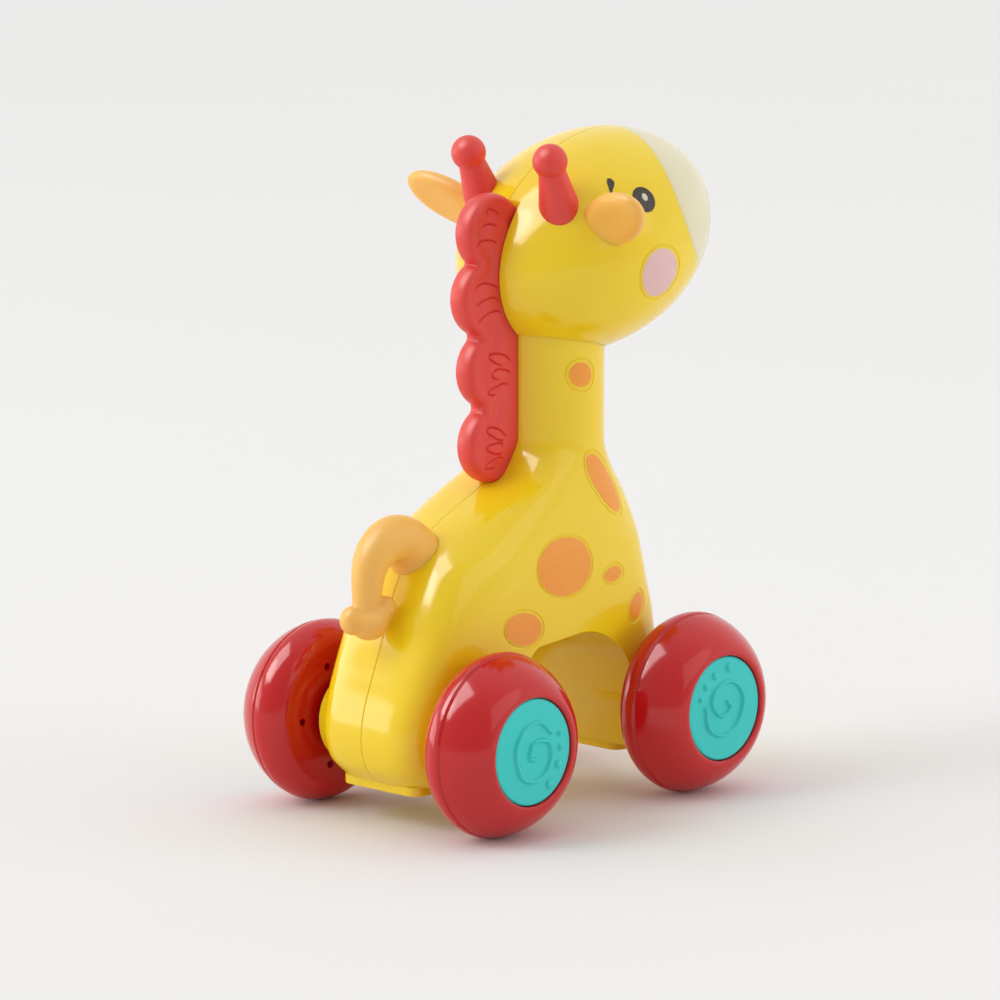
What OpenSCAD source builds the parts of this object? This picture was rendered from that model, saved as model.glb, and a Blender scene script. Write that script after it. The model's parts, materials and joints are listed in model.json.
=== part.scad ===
// Press and go giraffe on four wheels. Pushing the head down the neck drives a rack and a gear train
// that spins the rear axle, and a spring lifts the head again.
// +X is forward, +Y is the giraffe's left, +Z is up, and the floor is z = 0.

/* [Wheels] */
// Diameter of a wheel at its seam
wheel_d = 42; // [38:1:50]
// Distance between the axles
wheelbase = 64; // [60:1:72]
// From a wheel's seam to its inner face
wheel_inner_depth = 6.4; // [6:0.1:8]
// From a wheel's seam to its outer lip
wheel_outer_depth = 10.6; // [9.6:0.1:11.6]
// Wall of the wheel halves
wheel_wall = 2; // [1.6:0.1:2.4]
// Diameter of the spiral hub cap
hub_cap_d = 24.2; // [21:0.2:26]
// Thickness of the hub cap
hub_cap_t = 2.1; // [1.6:0.1:2.6]
// Diameter of the steel axles
axle_d = 4; // [3:0.1:4.6]

/* [Body] */
// Width of the body between the wheels
body_w = 38; // [36:0.5:44]
// How far the rump reaches behind the rear axle
rump_reach = 15.4; // [14.6:0.2:18]
// How far the chest reaches ahead of the front axle
chest_reach = 6.6; // [6:0.2:9]
// How far the shell's lower edge hangs below the axles
body_drop = 11; // [10.6:0.1:12]
// Height of the shoulders above the axles
shoulder_z = 33; // [32:0.5:36]
// Wall of the body and head shells
shell_wall = 2.2; // [1.8:0.1:2.6]
// Height of the belly arch above the axles
arch_rise = 19; // [15:0.5:20]
// From the rear axle to the rear wall of the arch
arch_rear = 19; // [18.6:0.2:21]
// From the front wall of the arch to the front axle
arch_front = 8; // [7:0.2:9]
// Thickness of the base plates
base_t = 2; // [1.6:0.1:2.5]

/* [Neck] */
// Diameter of the neck
neck_d = 26.8; // [25.6:0.2:28]
// How far the neck stands ahead of the wheelbase middle
neck_x = 13.2; // [12:0.2:14]
// Height above the axles where the neck becomes a straight tube
neck_root = 63; // [62:0.5:66]
// Height of the neck's top above the axles
neck_top = 93; // [91:0.5:94]

/* [Head] */
// Length of the head along its own axis
head_len = 66.6; // [64:0.2:72]
// Width of the head
head_w = 53.4; // [50:0.2:58]
// Depth of the head from crown to jaw
head_depth = 48; // [46:0.2:52]
// Upward tilt of the head
head_tilt = 22.7; // [18:0.1:26]
// How far the head's middle lies ahead of the neck
head_ahead = 12.5; // [11.5:0.1:13.5]
// Height of the head's middle above the axles
head_z = 105.7; // [105:0.1:108]
// Radius of the pale muzzle seen from the side
muzzle_r = 22; // [20:0.1:23]
// How far the muzzle stands proud of the head
muzzle_step = 0.4; // [0.2:0.1:0.8]
// Length of a horn from its seat to the middle of its ball
horn_len = 10.5; // [9.6:0.1:12.6]
// Diameter of the ball on a horn
horn_ball_d = 8; // [7:0.1:9.6]
// Length of an ear
ear_len = 17.3; // [15:0.1:19]
// Width of an ear
ear_w = 12.2; // [10:0.1:13.6]
// Thickness of an ear
ear_t = 4.6; // [4:0.1:6]

/* [Mane and tail] */
// Radius of the lobes of the mane
lobe_r = 8.9; // [8.2:0.1:9.6]
// Thickness of the mane
mane_t = 6.8; // [6:0.1:8]
// Diameter of the tail at its root
tail_d = 11.4; // [10:0.1:12]

/* [Press mechanism] */
// Travel of the head
travel = 10; // [7:0.5:10]
// Diameter of the plunger's stem
stem_d = 10; // [8:0.2:11]
// Wire diameter of the return spring
spring_wire = 1.4; // [1:0.1:1.6]
// Number of coils of the return spring
spring_coils = 7; // [5:1:8]
// Module of all the gear teeth
gear_module = 1; // [0.9:0.05:1]
// Width of the gears
gear_w = 4; // [3:0.1:4.4]
// Thickness of the gearbox plates
plate_t = 1.8; // [1.4:0.1:2.2]

/* [Fits] */
// Radial clearance of a turning or sliding fit
running_clear = 0.06; // [0.02:0.01:0.1]
// Radial clearance of a fixed fit
fixed_clear = 0.02; // [0.01:0.01:0.05]
// Gap between pieces that pass each other
moving_gap = 0.4; // [0.3:0.05:0.6]

/* [Hidden] */

yellow = "#e8cf45";
red = "#b5161e";
coral = "#d8453c";
teal = "#2bb8b0";
amber = "#ebb04c";
cream = "#dcd6b4";
white = "#e9e7e0";
steel = "#b9bcc0";
big = 200; // longer than the toy, for cuts that go right through
$fn = 48;

// Places along the toy, measured from the middle of the wheelbase at the height of the axles
rear_axle_x = -wheelbase / 2;
front_axle_x = wheelbase / 2;
rump_x = rear_axle_x - rump_reach;
chest_x = front_axle_x + chest_reach;
half_w = body_w / 2;
neck_r = neck_d / 2;
head_x = neck_x + head_ahead;
snout_x = head_x
    + norm([(head_len / 2 + muzzle_step) * cos(head_tilt), (head_depth / 2 + muzzle_step) * sin(head_tilt)]);
mid_x = (snout_x + rear_axle_x - wheel_d / 2) / 2;

// Moves the toy so that the floor is z = 0 and the origin is under the middle of its length
module place() {
    translate([-mid_x, 0, wheel_d / 2]) children();
}

// Helpers: a round bar along Y, a flat outline in the side view extruded along Y, and a rounded outline
module bar_y(at, r, from, to) {
    translate([at[0], from, at[1]]) rotate([-90, 0, 0]) cylinder(r = r, h = to - from);
}
module slab_y(from, to) {
    translate([0, to, 0]) rotate([90, 0, 0]) linear_extrude(to - from) children();
}
function arc(centre, r, from, to, steps) =
    [for (i = [0:steps]) centre + r * [cos(from + (to - from) * i / steps), sin(from + (to - from) * i / steps)]];
function mix(a, b, t) = a + (b - a) * t;
function sign_pow(v, e) = sign(v) * pow(abs(v), e);

// A solid whose flat side lies on y = 0, skinned over half rings that run from one edge round the left side
// to the other edge. Reach carries the flat side past y = 0, so that a hollow opens there
module half_loft(rings, reach = 0) {
    full = [for (ring = rings) reach == 0 ? ring
        : concat([ring[0] - [0, reach, 0]], ring, [ring[len(ring) - 1] - [0, reach, 0]])];
    m = len(full[0]);
    n = len(full);
    polyhedron(
        points = [for (ring = full) each ring],
        faces = concat(
            [for (i = [0:n - 2], j = [0:m - 2]) each [
                [i * m + j, (i + 1) * m + j, (i + 1) * m + j + 1],
                [i * m + j, (i + 1) * m + j + 1, i * m + j + 1]]],
            [for (i = [0:n - 2]) [i * m + m - 1, (i + 1) * m + m - 1, (i + 1) * m, i * m]],
            [[for (j = [0:m - 1]) j]],
            [[for (j = [m - 1:-1:0]) (n - 1) * m + j]]),
        convexity = 8);
}

// A solid skinned over closed rings, such as a swept tube or an ear
module closed_loft(rings) {
    m = len(rings[0]);
    n = len(rings);
    polyhedron(
        points = [for (ring = rings) each ring],
        faces = concat(
            [for (i = [0:n - 2], j = [0:m - 1]) each [
                [i * m + j, (i + 1) * m + j, (i + 1) * m + (j + 1) % m],
                [i * m + j, (i + 1) * m + (j + 1) % m, i * m + (j + 1) % m]]],
            [[for (j = [0:m - 1]) j]],
            [[for (j = [m - 1:-1:0]) (n - 1) * m + j]]),
        convexity = 8);
}

// Body sections, each [height, rear x, front x, half width, squareness of its front corners, of its rear corners].
// Below the shoulders: height, how far the rear, front and sides lie inside the rump, chest and flanks, squareness
lower_body = [
    [-body_drop, 4.8, 1.1, 3, 4.6], [-7, 1.4, 0.1, 1, 4.8], [-1, 0, 0, 0.4, 5], [6, 1, 0.4, 0.2, 5],
    [13, 3.6, 1.3, 0.1, 5], [21, 6.8, 2.6, 0, 4.8], [27, 8.8, 3.8, 0, 4.4], [shoulder_z, 11.4, 4.5, 0.2, 3.9]];
// From the shoulders to the neck: share of the way up, how far the rear, front and sides have drawn in to the
// round neck, squareness of the front and rear corners
neck_flare = [
    [0.17, 0.09, 0.04, 0.07, 3.4, 3.4], [0.3, 0.22, 0.11, 0.19, 3, 3], [0.43, 0.4, 0.24, 0.35, 2.7, 2.9],
    [0.57, 0.64, 0.45, 0.57, 2.4, 3.2], [0.7, 0.87, 0.73, 0.8, 2.2, 3.4], [0.87, 0.98, 0.96, 0.96, 2, 2.2],
    [1, 1, 1, 1, 2, 2]];
shoulder = lower_body[len(lower_body) - 1];
body_sections = concat(
    [for (s = lower_body) [s[0], rump_x + s[1], chest_x - s[2], half_w - s[3], s[4], s[4]]],
    [for (s = neck_flare) [
        mix(shoulder_z, neck_root, s[0]),
        mix(rump_x + shoulder[1], neck_x - neck_r, s[1]),
        mix(chest_x - shoulder[2], neck_x + neck_r, s[2]),
        mix(half_w - shoulder[3], neck_r, s[3]),
        s[4],
        s[5]]],
    [[neck_top, neck_x - neck_r, neck_x + neck_r, neck_r, 2, 2]]);

// Smooth sections between the given ones, by a cubic through them
body_steps = 2;
function slope(s, i) = let(a = max(i - 1, 0), b = min(i + 1, len(s) - 1)) (s[b] - s[a]) / (s[b][0] - s[a][0]);
function between(s, i, t) =
    let(h = s[i + 1][0] - s[i][0], u = 1 - t)
    s[i] * (1 + 2 * t) * u * u + slope(s, i) * h * t * u * u
    + s[i + 1] * (3 - 2 * t) * t * t - slope(s, i + 1) * h * t * t * u;
function smooth(s, steps) = concat(
    [for (i = [0:len(s) - 2], k = [0:steps - 1]) k == 0 ? s[i] : between(s, i, k / steps)],
    [s[len(s) - 1]]);
body_levels = smooth(body_sections, body_steps);

// Half ring of a body section, drawn in by inset
ring_steps = 20;
function body_ring(s, inset) =
    [for (j = [0:ring_steps]) let(a = 180 * j / ring_steps, corner = 2 / (a < 90 ? s[4] : s[5])) [
        (s[1] + s[2]) / 2 + ((s[2] - s[1]) / 2 - inset) * sign_pow(cos(a), corner),
        (s[3] - inset) * (j % ring_steps == 0 ? 0 : pow(sin(a), corner)),
        s[0]]];
// The hollow hangs lower where the shell leans, so that its wall stays thick there
function flare_share(z) = max(0, min(1, (z - shoulder_z) / (neck_root - shoulder_z)));
function raised(s, rise) = [s[0] + rise, s[1], s[2], s[3], s[4], s[5]];
function hollow_levels() = concat(
    [raised(body_levels[0], -1)],
    [for (s = body_levels) raised(s, -0.9 * shell_wall * sin(180 * flare_share(s[0])))],
    [raised(body_levels[len(body_levels) - 1], 1)]);

// The arch under the belly, in the side view, grown by a wall
arch_corner_r = 6;
arch_rear_x = rear_axle_x + arch_rear;
arch_front_x = front_axle_x - arch_front;
arch_low = -body_drop - 10;
function arch_outline(grow) = concat(
    [[arch_rear_x - grow, arch_low]],
    arc([arch_rear_x + arch_corner_r, arch_rise - arch_corner_r - 1], arch_corner_r + grow, 180, 105, 5),
    arc([arch_front_x - arch_rise, 0], arch_rise + grow, 90, 0, 12),
    [[arch_front_x + grow, arch_low]]);

// Wheel places across the toy
boss_proud = 1.7;
bush_flange_t = 1;
axle_end_gap = 0.3;
boss_y = half_w + boss_proud;
wheel_in_y = boss_y + bush_flange_t + axle_end_gap;
seam_y = wheel_in_y + wheel_inner_depth;
axle_r = axle_d / 2;
bush_wall = 2;
bush_r = axle_r + bush_wall;
bush_in_y = 11;
rear_boss_r = 8.6;
front_boss_r = 6.5;
axle_places = [[rear_axle_x, rear_boss_r], [front_axle_x, front_boss_r]];

// Gear train, seen from the right: the rack turns the pinion of the drive gear, whose wheel turns the float gear.
// The float gear stands clear of the axle gear until its pins ride down their curved slots
pinion_teeth = 8;
wheel_teeth = 18;
float_teeth = 8;
axle_teeth = 10;
addendum = 0.75;
dedendum = 1.15;
function pitch_r(teeth) = teeth * gear_module / 2;
function tip_r(teeth) = pitch_r(teeth) + addendum * gear_module;
drive_at = [rear_axle_x + 8, 17];
clutch_gap = 0.5;
float_reach = pitch_r(wheel_teeth) + pitch_r(float_teeth);
float_off = tip_r(float_teeth) + tip_r(axle_teeth) + clutch_gap;
drive_span = norm(drive_at - [rear_axle_x, 0]);
// Place on a circle about the drive gear that lies at a given distance from the rear axle, on its rear side
function clutch_angle(dist) =
    atan2(-drive_at[1], rear_axle_x - drive_at[0])
    - acos((float_reach * float_reach + drive_span * drive_span - dist * dist) / (2 * float_reach * drive_span));
function on_clutch(angle) = drive_at + float_reach * [cos(angle), sin(angle)];
float_angle = clutch_angle(float_off);
mesh_angle = clutch_angle(pitch_r(float_teeth) + pitch_r(axle_teeth));
float_at = on_clutch(float_angle);
rack_x = drive_at[0] + pitch_r(pinion_teeth);
rack_y = [1, 1 + gear_w];
train_y = [-1 - gear_w, -1];
plate_y = max(rack_y[1], -train_y[0]) + 1.5;
pin_r = 1.5;
float_pin_r = 1.4;
pillar_r = 1.5;
pillars = [[rear_axle_x - 7, -4.5], [rear_axle_x + 6.8, -4.8], [rear_axle_x - 4, 20]];
plate_outline = [for (p = [[-8.5, -6.5], [8.7, -6.5], [15, 9], [15, 23], [-4.3, 23], [-7, 18], [-8.5, 10]])
    p + [rear_axle_x, 0]];
gearbox_posts = [[rear_axle_x - 5.5, 15.5], [rear_axle_x + 12, 12]];
post_r = 2.4;

// Screws that close the shells go in from the left
screw_r = 1.2;
screw_head_r = 2.4;
screw_head_t = 1.6;
screw_sink_r = 2.6;
screw_post_r = 4;
shell_screw_places = [[rear_axle_x + 1, shoulder_z - 3], [front_axle_x - 4.5, 25], [neck_x + neck_r - 1.1, 44]];
shell_screw_seat = 12;
head_screw_seat = 14;
screw_reach = 20;
base_screw_y = 9.4;
base_block_l = 6;
base_block_in = 2.8;
base_block_top = -6.8;
rear_base_screws = [rear_axle_x - 6.5, rear_axle_x + 12.5];
front_base_screws = [front_axle_x - 1.3];

// Base plates under the shell's two feet
base_z = -body_drop - base_t;
base_half_w = 12.5;
plug_half_w = base_screw_y - base_block_in - 0.4;
plug_h = 2.5;
rear_base = [rump_x + 3.1, arch_rear_x - 1];
front_base = [arch_front_x + 0.6, chest_x - 2.6];
rear_foot_r = 6;
front_foot_r = 4;
// Rounding of a plate's lower edge: how far in, how far up
foot_edge = [[0.8, 0], [0.3, 0.2], [0, 0.8], [0, base_t]];

// Press parts
stem_r = stem_d / 2;
guide_h = 6;
guide_ledge = 2;
neck_bore_r = neck_r - shell_wall;
stop_gap = 0.8;
stop_z = neck_top + travel + stop_gap;
flange_r = stem_r + 3.4;
flange_t = 2.5;
socket_lip = 1.2;
socket_r = flange_r + 2.2;
arm_z = [shoulder_z + 1.5, shoulder_z + 5.3];
rack_back = 3;
rack_low = drive_at[1] - 6;

// Mane: round lobes in the plane of symmetry, from the crown down to the withers, measured from the neck axis.
// Its front sits in a groove down the back of the neck, and a tongue between the neck's halves ties it in
// Each lobe's place is given in neck radii behind the neck, and in shares of the neck's height below the head
lobe_shares = [[1.47, 0.1], [1.545, -0.246], [1.448, -0.625], [1.381, -1.016]];
lobe_places = [for (s = lobe_shares) [neck_x - neck_r * s[0], head_z + (head_z - neck_root) * s[1]]];
// Smaller rounds fill the notches between two lobes, as deep as the lobes' circles meet
fill_r = lobe_r * 0.6;
function notch(a, b) = sqrt(max(1, lobe_r * lobe_r - pow(norm(a - b) / 2, 2)));
fill_places = [for (i = [0:2]) let(a = lobe_places[i], b = lobe_places[i + 1])
    (a + b) / 2 + [fill_r - notch(a, b), 0]];
mane_front = neck_x - neck_r + 1;
tongue_t = 3;
tongue_z = [neck_root + guide_h + 3, neck_root + guide_h + 11];
tie_x = neck_x - neck_bore_r + 0.8;
tie_t = 1;
tie_w = 6.6;

// Head frame: the head's own long axis is x before it is tilted
muzzle_at = [head_len * 0.45, head_depth * 0.03];
muzzle_lip = [1.5, 1.2];
head_rings = 18;
head_steps = 16;
horn_seat_r = 4.5;
horn_neck_r = 3.2;
horn_peg_r = 2.4;
horn_sink = 4;
// A place on the head, in shares of its half length, half width and half depth
function on_head(s) = [head_x + s[0] * head_len / 2, s[1] * head_w / 2, head_z + s[2] * head_depth / 2];
horn_base = on_head([-0.637, 0.442, 0.467]);
horn_lean = [-20.7, 4.9];
ear_root_r = 2.1;
ear_base = on_head([-0.483, 0.781, 0.266]);
ear_tip = on_head([-0.62, 1.358, 0.531]);
ear_roll = 26;
head_screw_places = [[head_x + 12.8, head_z - 14.2], [head_x - 1.5, head_z + 15.5]];

tail_base = [rump_x + rump_reach * 1.336, shoulder_z * 1.067];
tail_lean = -36;
tail_boss_r = 6.2;
tail_boss_h = 5.2;
tail_peg_r = 2.4;
tail_peg_h = 4;

// Half of the body, before the details that differ between left and right
module body_half() {
    difference() {
        union() {
            half_loft([for (s = body_levels) body_ring(s, 0)]);
            for (a = axle_places) bar_y([a[0], 0], a[1], half_w - 3, boss_y);
            tail_boss();
        }
        difference() {
            half_loft([for (s = hollow_levels()) body_ring(s, shell_wall)], 1);
            arch_wall();
            mane_seat();
            for (a = axle_places) bar_y([a[0], 0], bush_r + 2, bush_in_y, half_w);
            for (p = gearbox_posts) bar_y(p, post_r, plate_y + plate_t + 0.05, half_w);
            for (p = shell_screw_places) bar_y(p, screw_post_r, -2, half_w);
            for (x = concat(rear_base_screws, front_base_screws)) base_block(x);
            guide_seat();
            tail_seat();
        }
        slab_y(-1, big) polygon(arch_outline(0));
        mane_form(fixed_clear);
        tongue(fixed_clear);
        for (a = axle_places) bar_y([a[0], 0], bush_r + fixed_clear, 0, big);
        for (x = concat(rear_base_screws, front_base_screws)) base_pilot(x);
        at_tail(tail_boss_h - tail_peg_h) cylinder(r = tail_peg_r + fixed_clear, h = big);
        at_tail(tail_boss_h) cylinder(r = tail_d / 2 + 0.05, h = 2 * tail_boss_h);
    }
}
// Wall round the arch, with room for the wheel of the drive gear
module arch_wall() {
    difference() {
        slab_y(-2, big) polygon(arch_outline(shell_wall));
        bar_y(drive_at, tip_r(wheel_teeth) + moving_gap, -3, moving_gap - train_y[0]);
    }
}
module at_tail(rise) {
    translate([tail_base[0], 0, tail_base[1]]) rotate([0, tail_lean, 0]) translate([0, 0, rise]) children();
}
module tail_boss() {
    difference() {
        at_tail(-tail_boss_h) cylinder(r = tail_boss_r, h = 2 * tail_boss_h);
        translate([-big / 2, -big, -big / 2]) cube(big);
    }
}
module tail_seat() {
    at_tail(tail_boss_h - tail_peg_h - 1.5) cylinder(r = tail_boss_r - 1, h = tail_boss_h);
}
// Wall round the mane's lowest lobe, where it sinks into the withers
module mane_seat() {
    difference() {
        lobe(lobe_places[3], lobe_r, shell_wall);
        translate([-big / 2, -big / 2, neck_root - guide_ledge]) cube(big);
        translate([mane_front + shell_wall, -big / 2, 0]) cube(big);
    }
}
module guide_seat() {
    translate([neck_x, 0, neck_root - guide_ledge]) difference() {
        cylinder(r = neck_r, h = guide_ledge);
        translate([0, 0, -1]) cylinder(r = stem_r + 2, h = guide_ledge + 2);
    }
}
module base_block(x) {
    translate([x - base_block_l / 2, base_screw_y - base_block_in, -body_drop])
        cube([base_block_l, half_w, base_block_top + body_drop]);
}
module base_pilot(x) {
    translate([x, base_screw_y, -body_drop - 1])
        cylinder(r = screw_r + fixed_clear, h = base_block_top + body_drop + 2);
}

module body_shell_left() {
    color(yellow) place() difference() {
        body_half();
        for (p = shell_screw_places) {
            bar_y(p, screw_r + 0.2, -1, big);
            bar_y(p, screw_sink_r, shell_screw_seat, big);
        }
    }
}
module body_shell_right() {
    color(yellow) place() mirror([0, 1, 0]) difference() {
        body_half();
        for (p = shell_screw_places) bar_y(p, screw_r + fixed_clear, -1, screw_reach - shell_screw_seat + 0.5);
    }
}

// A base plate covers a foot from below and plugs into its opening
module base_plate(span, plug, screws, foot_r) {
    difference() {
        union() {
            closed_loft([for (e = foot_edge)
                [for (p = rounded_box(span + [e[0], -e[0]], base_half_w - e[0], foot_r - e[0]))
                    [p[0], p[1], base_z + e[1]]]]);
            translate([0, 0, -body_drop - 0.1]) linear_extrude(plug_h + 0.1)
                polygon(rounded_box(plug, plug_half_w, foot_r - 1));
        }
        for (x = screws, side = [-1, 1]) translate([x, side * base_screw_y, base_z - 1]) {
            cylinder(r = screw_r + 0.2, h = 20);
            cylinder(r = screw_sink_r, h = 1 + screw_head_t + 0.4);
        }
    }
}
function rounded_box(span, half, r) =
    let(corners = [[span[1] - r, half - r], [span[0] + r, half - r],
        [span[0] + r, r - half], [span[1] - r, r - half]])
    [for (k = [0:3]) each arc(corners[k], r, 90 * k, 90 * k + 90, 6)];
module rear_base_plate() {
    color(yellow) place() base_plate(rear_base,
        [rump_x + 8.4, arch_rear_x - shell_wall - 0.4], rear_base_screws, rear_foot_r);
}
module front_base_plate() {
    color(yellow) place() base_plate(front_base,
        [arch_front_x + shell_wall + 0.4, chest_x - shell_wall - 2.6], front_base_screws, front_foot_r);
}

// Tail: a round rod bent over the rump that ends in a tuft of three lobes
tail_path = [[-3, 4.2], [-4.5, 5.9], [-6.8, 7.8], [-9.6, 8.7], [-12.7, 8.2], [-15.6, 6.3], [-17.5, 3.4],
    [-18.3, -0.2], [-18.5, -4], [-18.6, -7.5], [-18.6, -9]];
tail_taper = [1, 1, 0.97, 0.93, 0.87, 0.8, 0.72, 0.64, 0.58, 0.54, 0.52];
tuft = [[-17.9, -9.6, -0.3, 3.9, 3.6], [-21.5, -7.2, 1.5, 2.9, 3.1], [-14.4, -6.2, -2, 2.6, 2.9]];
tail_sides = 16;
function tail_turn(i) = let(a = tail_path[max(i - 1, 0)], b = tail_path[min(i + 1, len(tail_path) - 1)])
    i == 0 ? 90 - tail_lean : atan2(b[1] - a[1], b[0] - a[0]);
function tail_root(i) = i == 0 ? (tail_boss_h + 0.05) * [sin(tail_lean), cos(tail_lean)] : tail_path[i];
function tail_ring(i) = let(turn = tail_turn(i), r = tail_d / 2 * tail_taper[i], c = tail_root(i))
    [for (j = [0:tail_sides - 1]) let(a = -360 * j / tail_sides) [
        tail_base[0] + c[0] - r * sin(turn) * cos(a), r * sin(a), tail_base[1] + c[1] + r * cos(turn) * cos(a)]];
module tail() {
    color(amber) place() {
        closed_loft([for (i = [0:len(tail_path) - 1]) tail_ring(i)]);
        at_tail(tail_boss_h - tail_peg_h + 0.1) cylinder(r = tail_peg_r, h = tail_peg_h + 1);
        for (t = tuft) translate([tail_base[0] + t[0], t[2], tail_base[1] + t[1]])
            ball([t[3], t[3] * 0.85, t[4]], 12, 16);
    }
}
// Rounded ball with three half axes, skinned over rings from bottom to top
module ball(axes, rings, sides) {
    closed_loft([for (i = [0:rings]) let(p = mix(8, 172, i / rings))
        [for (j = [0:sides - 1]) let(a = 360 * j / sides)
            [axes[0] * sin(p) * cos(a), axes[1] * sin(p) * sin(a), -axes[2] * cos(p)]]]);
}

// Screw with a pan head, its head's seat at z = 0 and its shank down
module screw(reach) {
    translate([0, 0, -reach]) cylinder(r = screw_r, h = reach);
    cylinder(r = screw_head_r, h = screw_head_t);
}
module shell_screws() {
    color(steel) place() for (p = shell_screw_places)
        translate([p[0], shell_screw_seat, p[1]]) rotate([-90, 0, 0]) screw(screw_reach);
}
module base_screws() {
    color(steel) place() for (x = concat(rear_base_screws, front_base_screws), side = [-1, 1])
        translate([x, side * base_screw_y, base_z + screw_head_t + 0.4]) rotate([180, 0, 0])
            screw(base_block_top - base_z - screw_head_t - 0.6);
}

module neck_guide() {
    color(white) place() translate([neck_x, 0, neck_root]) difference() {
        cylinder(r = neck_bore_r - 0.1, h = guide_h);
        translate([0, 0, -1]) cylinder(r = stem_r + running_clear, h = guide_h + 2);
    }
}

// Gearbox: two plates held apart by pillars. The float gear's pins lie in curved slots about the drive gear
module gearbox_plate() {
    difference() {
        slab_y(plate_y, plate_y + plate_t) polygon(plate_outline);
        bar_y(drive_at, pin_r + fixed_clear, 0, big);
        bar_y([rear_axle_x, 0], axle_r + 1, 0, big);
        slab_y(0, big) polygon(concat(
            arc(drive_at, float_reach + float_pin_r + running_clear, float_angle, mesh_angle, 8),
            arc(drive_at, float_reach - float_pin_r - running_clear, mesh_angle, float_angle, 8)));
        for (a = [float_angle, mesh_angle]) bar_y(on_clutch(a), float_pin_r + running_clear, 0, big);
    }
}
module gearbox_left() {
    color(white) place() {
        gearbox_plate();
        for (p = pillars) difference() {
            bar_y(p, pillar_r, -plate_y, plate_y + 0.5);
            bar_y(p, screw_r * 0.6 + fixed_clear, -plate_y - 1, -plate_y + 6.2);
        }
    }
}
module gearbox_right() {
    color(white) place() difference() {
        mirror([0, 1, 0]) gearbox_plate();
        for (p = pillars) bar_y(p, screw_r * 0.6 + 0.1, -big, 0);
    }
}
module gearbox_screws() {
    color(steel) place() for (p = pillars) {
        bar_y(p, screw_r * 0.6, -plate_y - plate_t, -plate_y + 6);
        bar_y(p, pillar_r - 0.1, -plate_y - plate_t - 1, -plate_y - plate_t);
    }
}
module drive_pin() {
    color(steel) place() bar_y(drive_at, pin_r, -plate_y - plate_t, plate_y + plate_t);
}

// Gear outline with straight-sided teeth, one tooth pointing along +x before it is turned
function gear_outline(teeth) = let(step = 360 / teeth, root = pitch_r(teeth) - dedendum * gear_module)
    [for (k = [0:teeth - 1], q = [[-0.3, 0], [-0.09, 1], [0.09, 1], [0.3, 0]])
        let(a = step * (k + q[0]), r = q[1] == 0 ? root : tip_r(teeth)) r * [cos(a), sin(a)]];
module gear(teeth, at, turn, from, to) {
    slab_y(from, to) translate(at) rotate(turn) polygon(gear_outline(teeth));
}
module drive_gear() {
    color(white) place() difference() {
        union() {
            gear(pinion_teeth, drive_at, 0, train_y[1] - 0.5, rack_y[1]);
            gear(wheel_teeth, drive_at, float_angle, train_y[0], train_y[1]);
            bar_y(drive_at, pin_r + 1.2, -plate_y + 0.3, plate_y - 0.3);
        }
        bar_y(drive_at, pin_r + running_clear, -big, big);
    }
}
module float_gear() {
    color(white) place() {
        gear(float_teeth, float_at, float_angle + 180 + 180 / float_teeth, train_y[0], train_y[1]);
        bar_y(float_at, float_pin_r + 0.7, -plate_y + 0.3, plate_y - 0.3);
        bar_y(float_at, float_pin_r, -plate_y - plate_t, plate_y + plate_t);
    }
}
module axle_gear() {
    color(white) place() difference() {
        gear(axle_teeth, [rear_axle_x, 0], 90, train_y[0], train_y[1]);
        bar_y([rear_axle_x, 0], axle_r + fixed_clear, -big, big);
    }
}

module bush(x, side) {
    color(white) place() mirror([0, side < 0 ? 1 : 0, 0]) difference() {
        union() {
            bar_y([x, 0], bush_r, bush_in_y, boss_y + 0.1);
            bar_y([x, 0], bush_r + 1.5, boss_y, boss_y + bush_flange_t);
        }
        bar_y([x, 0], axle_r + running_clear, 0, big);
    }
}
module rear_bush_left() { bush(rear_axle_x, 1); }
module rear_bush_right() { bush(rear_axle_x, -1); }
module front_bush_left() { bush(front_axle_x, 1); }
module front_bush_right() { bush(front_axle_x, -1); }

// Return spring: one wire wound round the plunger's stem, between the guide and the head's socket
spring_r = (stem_r + neck_bore_r) / 2;
spring_low = neck_root + guide_h + spring_wire / 2 + 0.05;
spring_high = stop_z - spring_wire / 2 - 0.05;
spring_rings = 12;
spring_sides = 6;
function spring_ring(i) =
    let(n = spring_coils * spring_rings, a = 360 * i / spring_rings, z = mix(spring_low, spring_high, i / n))
    [for (j = [0:spring_sides - 1]) let(b = 360 * j / spring_sides, r = spring_r - spring_wire / 2 * cos(b))
        [neck_x + r * cos(a), r * sin(a), z + spring_wire / 2 * sin(b)]];
module return_spring() {
    color(steel) place() closed_loft([for (i = [0:spring_coils * spring_rings]) spring_ring(i)]);
}

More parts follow.
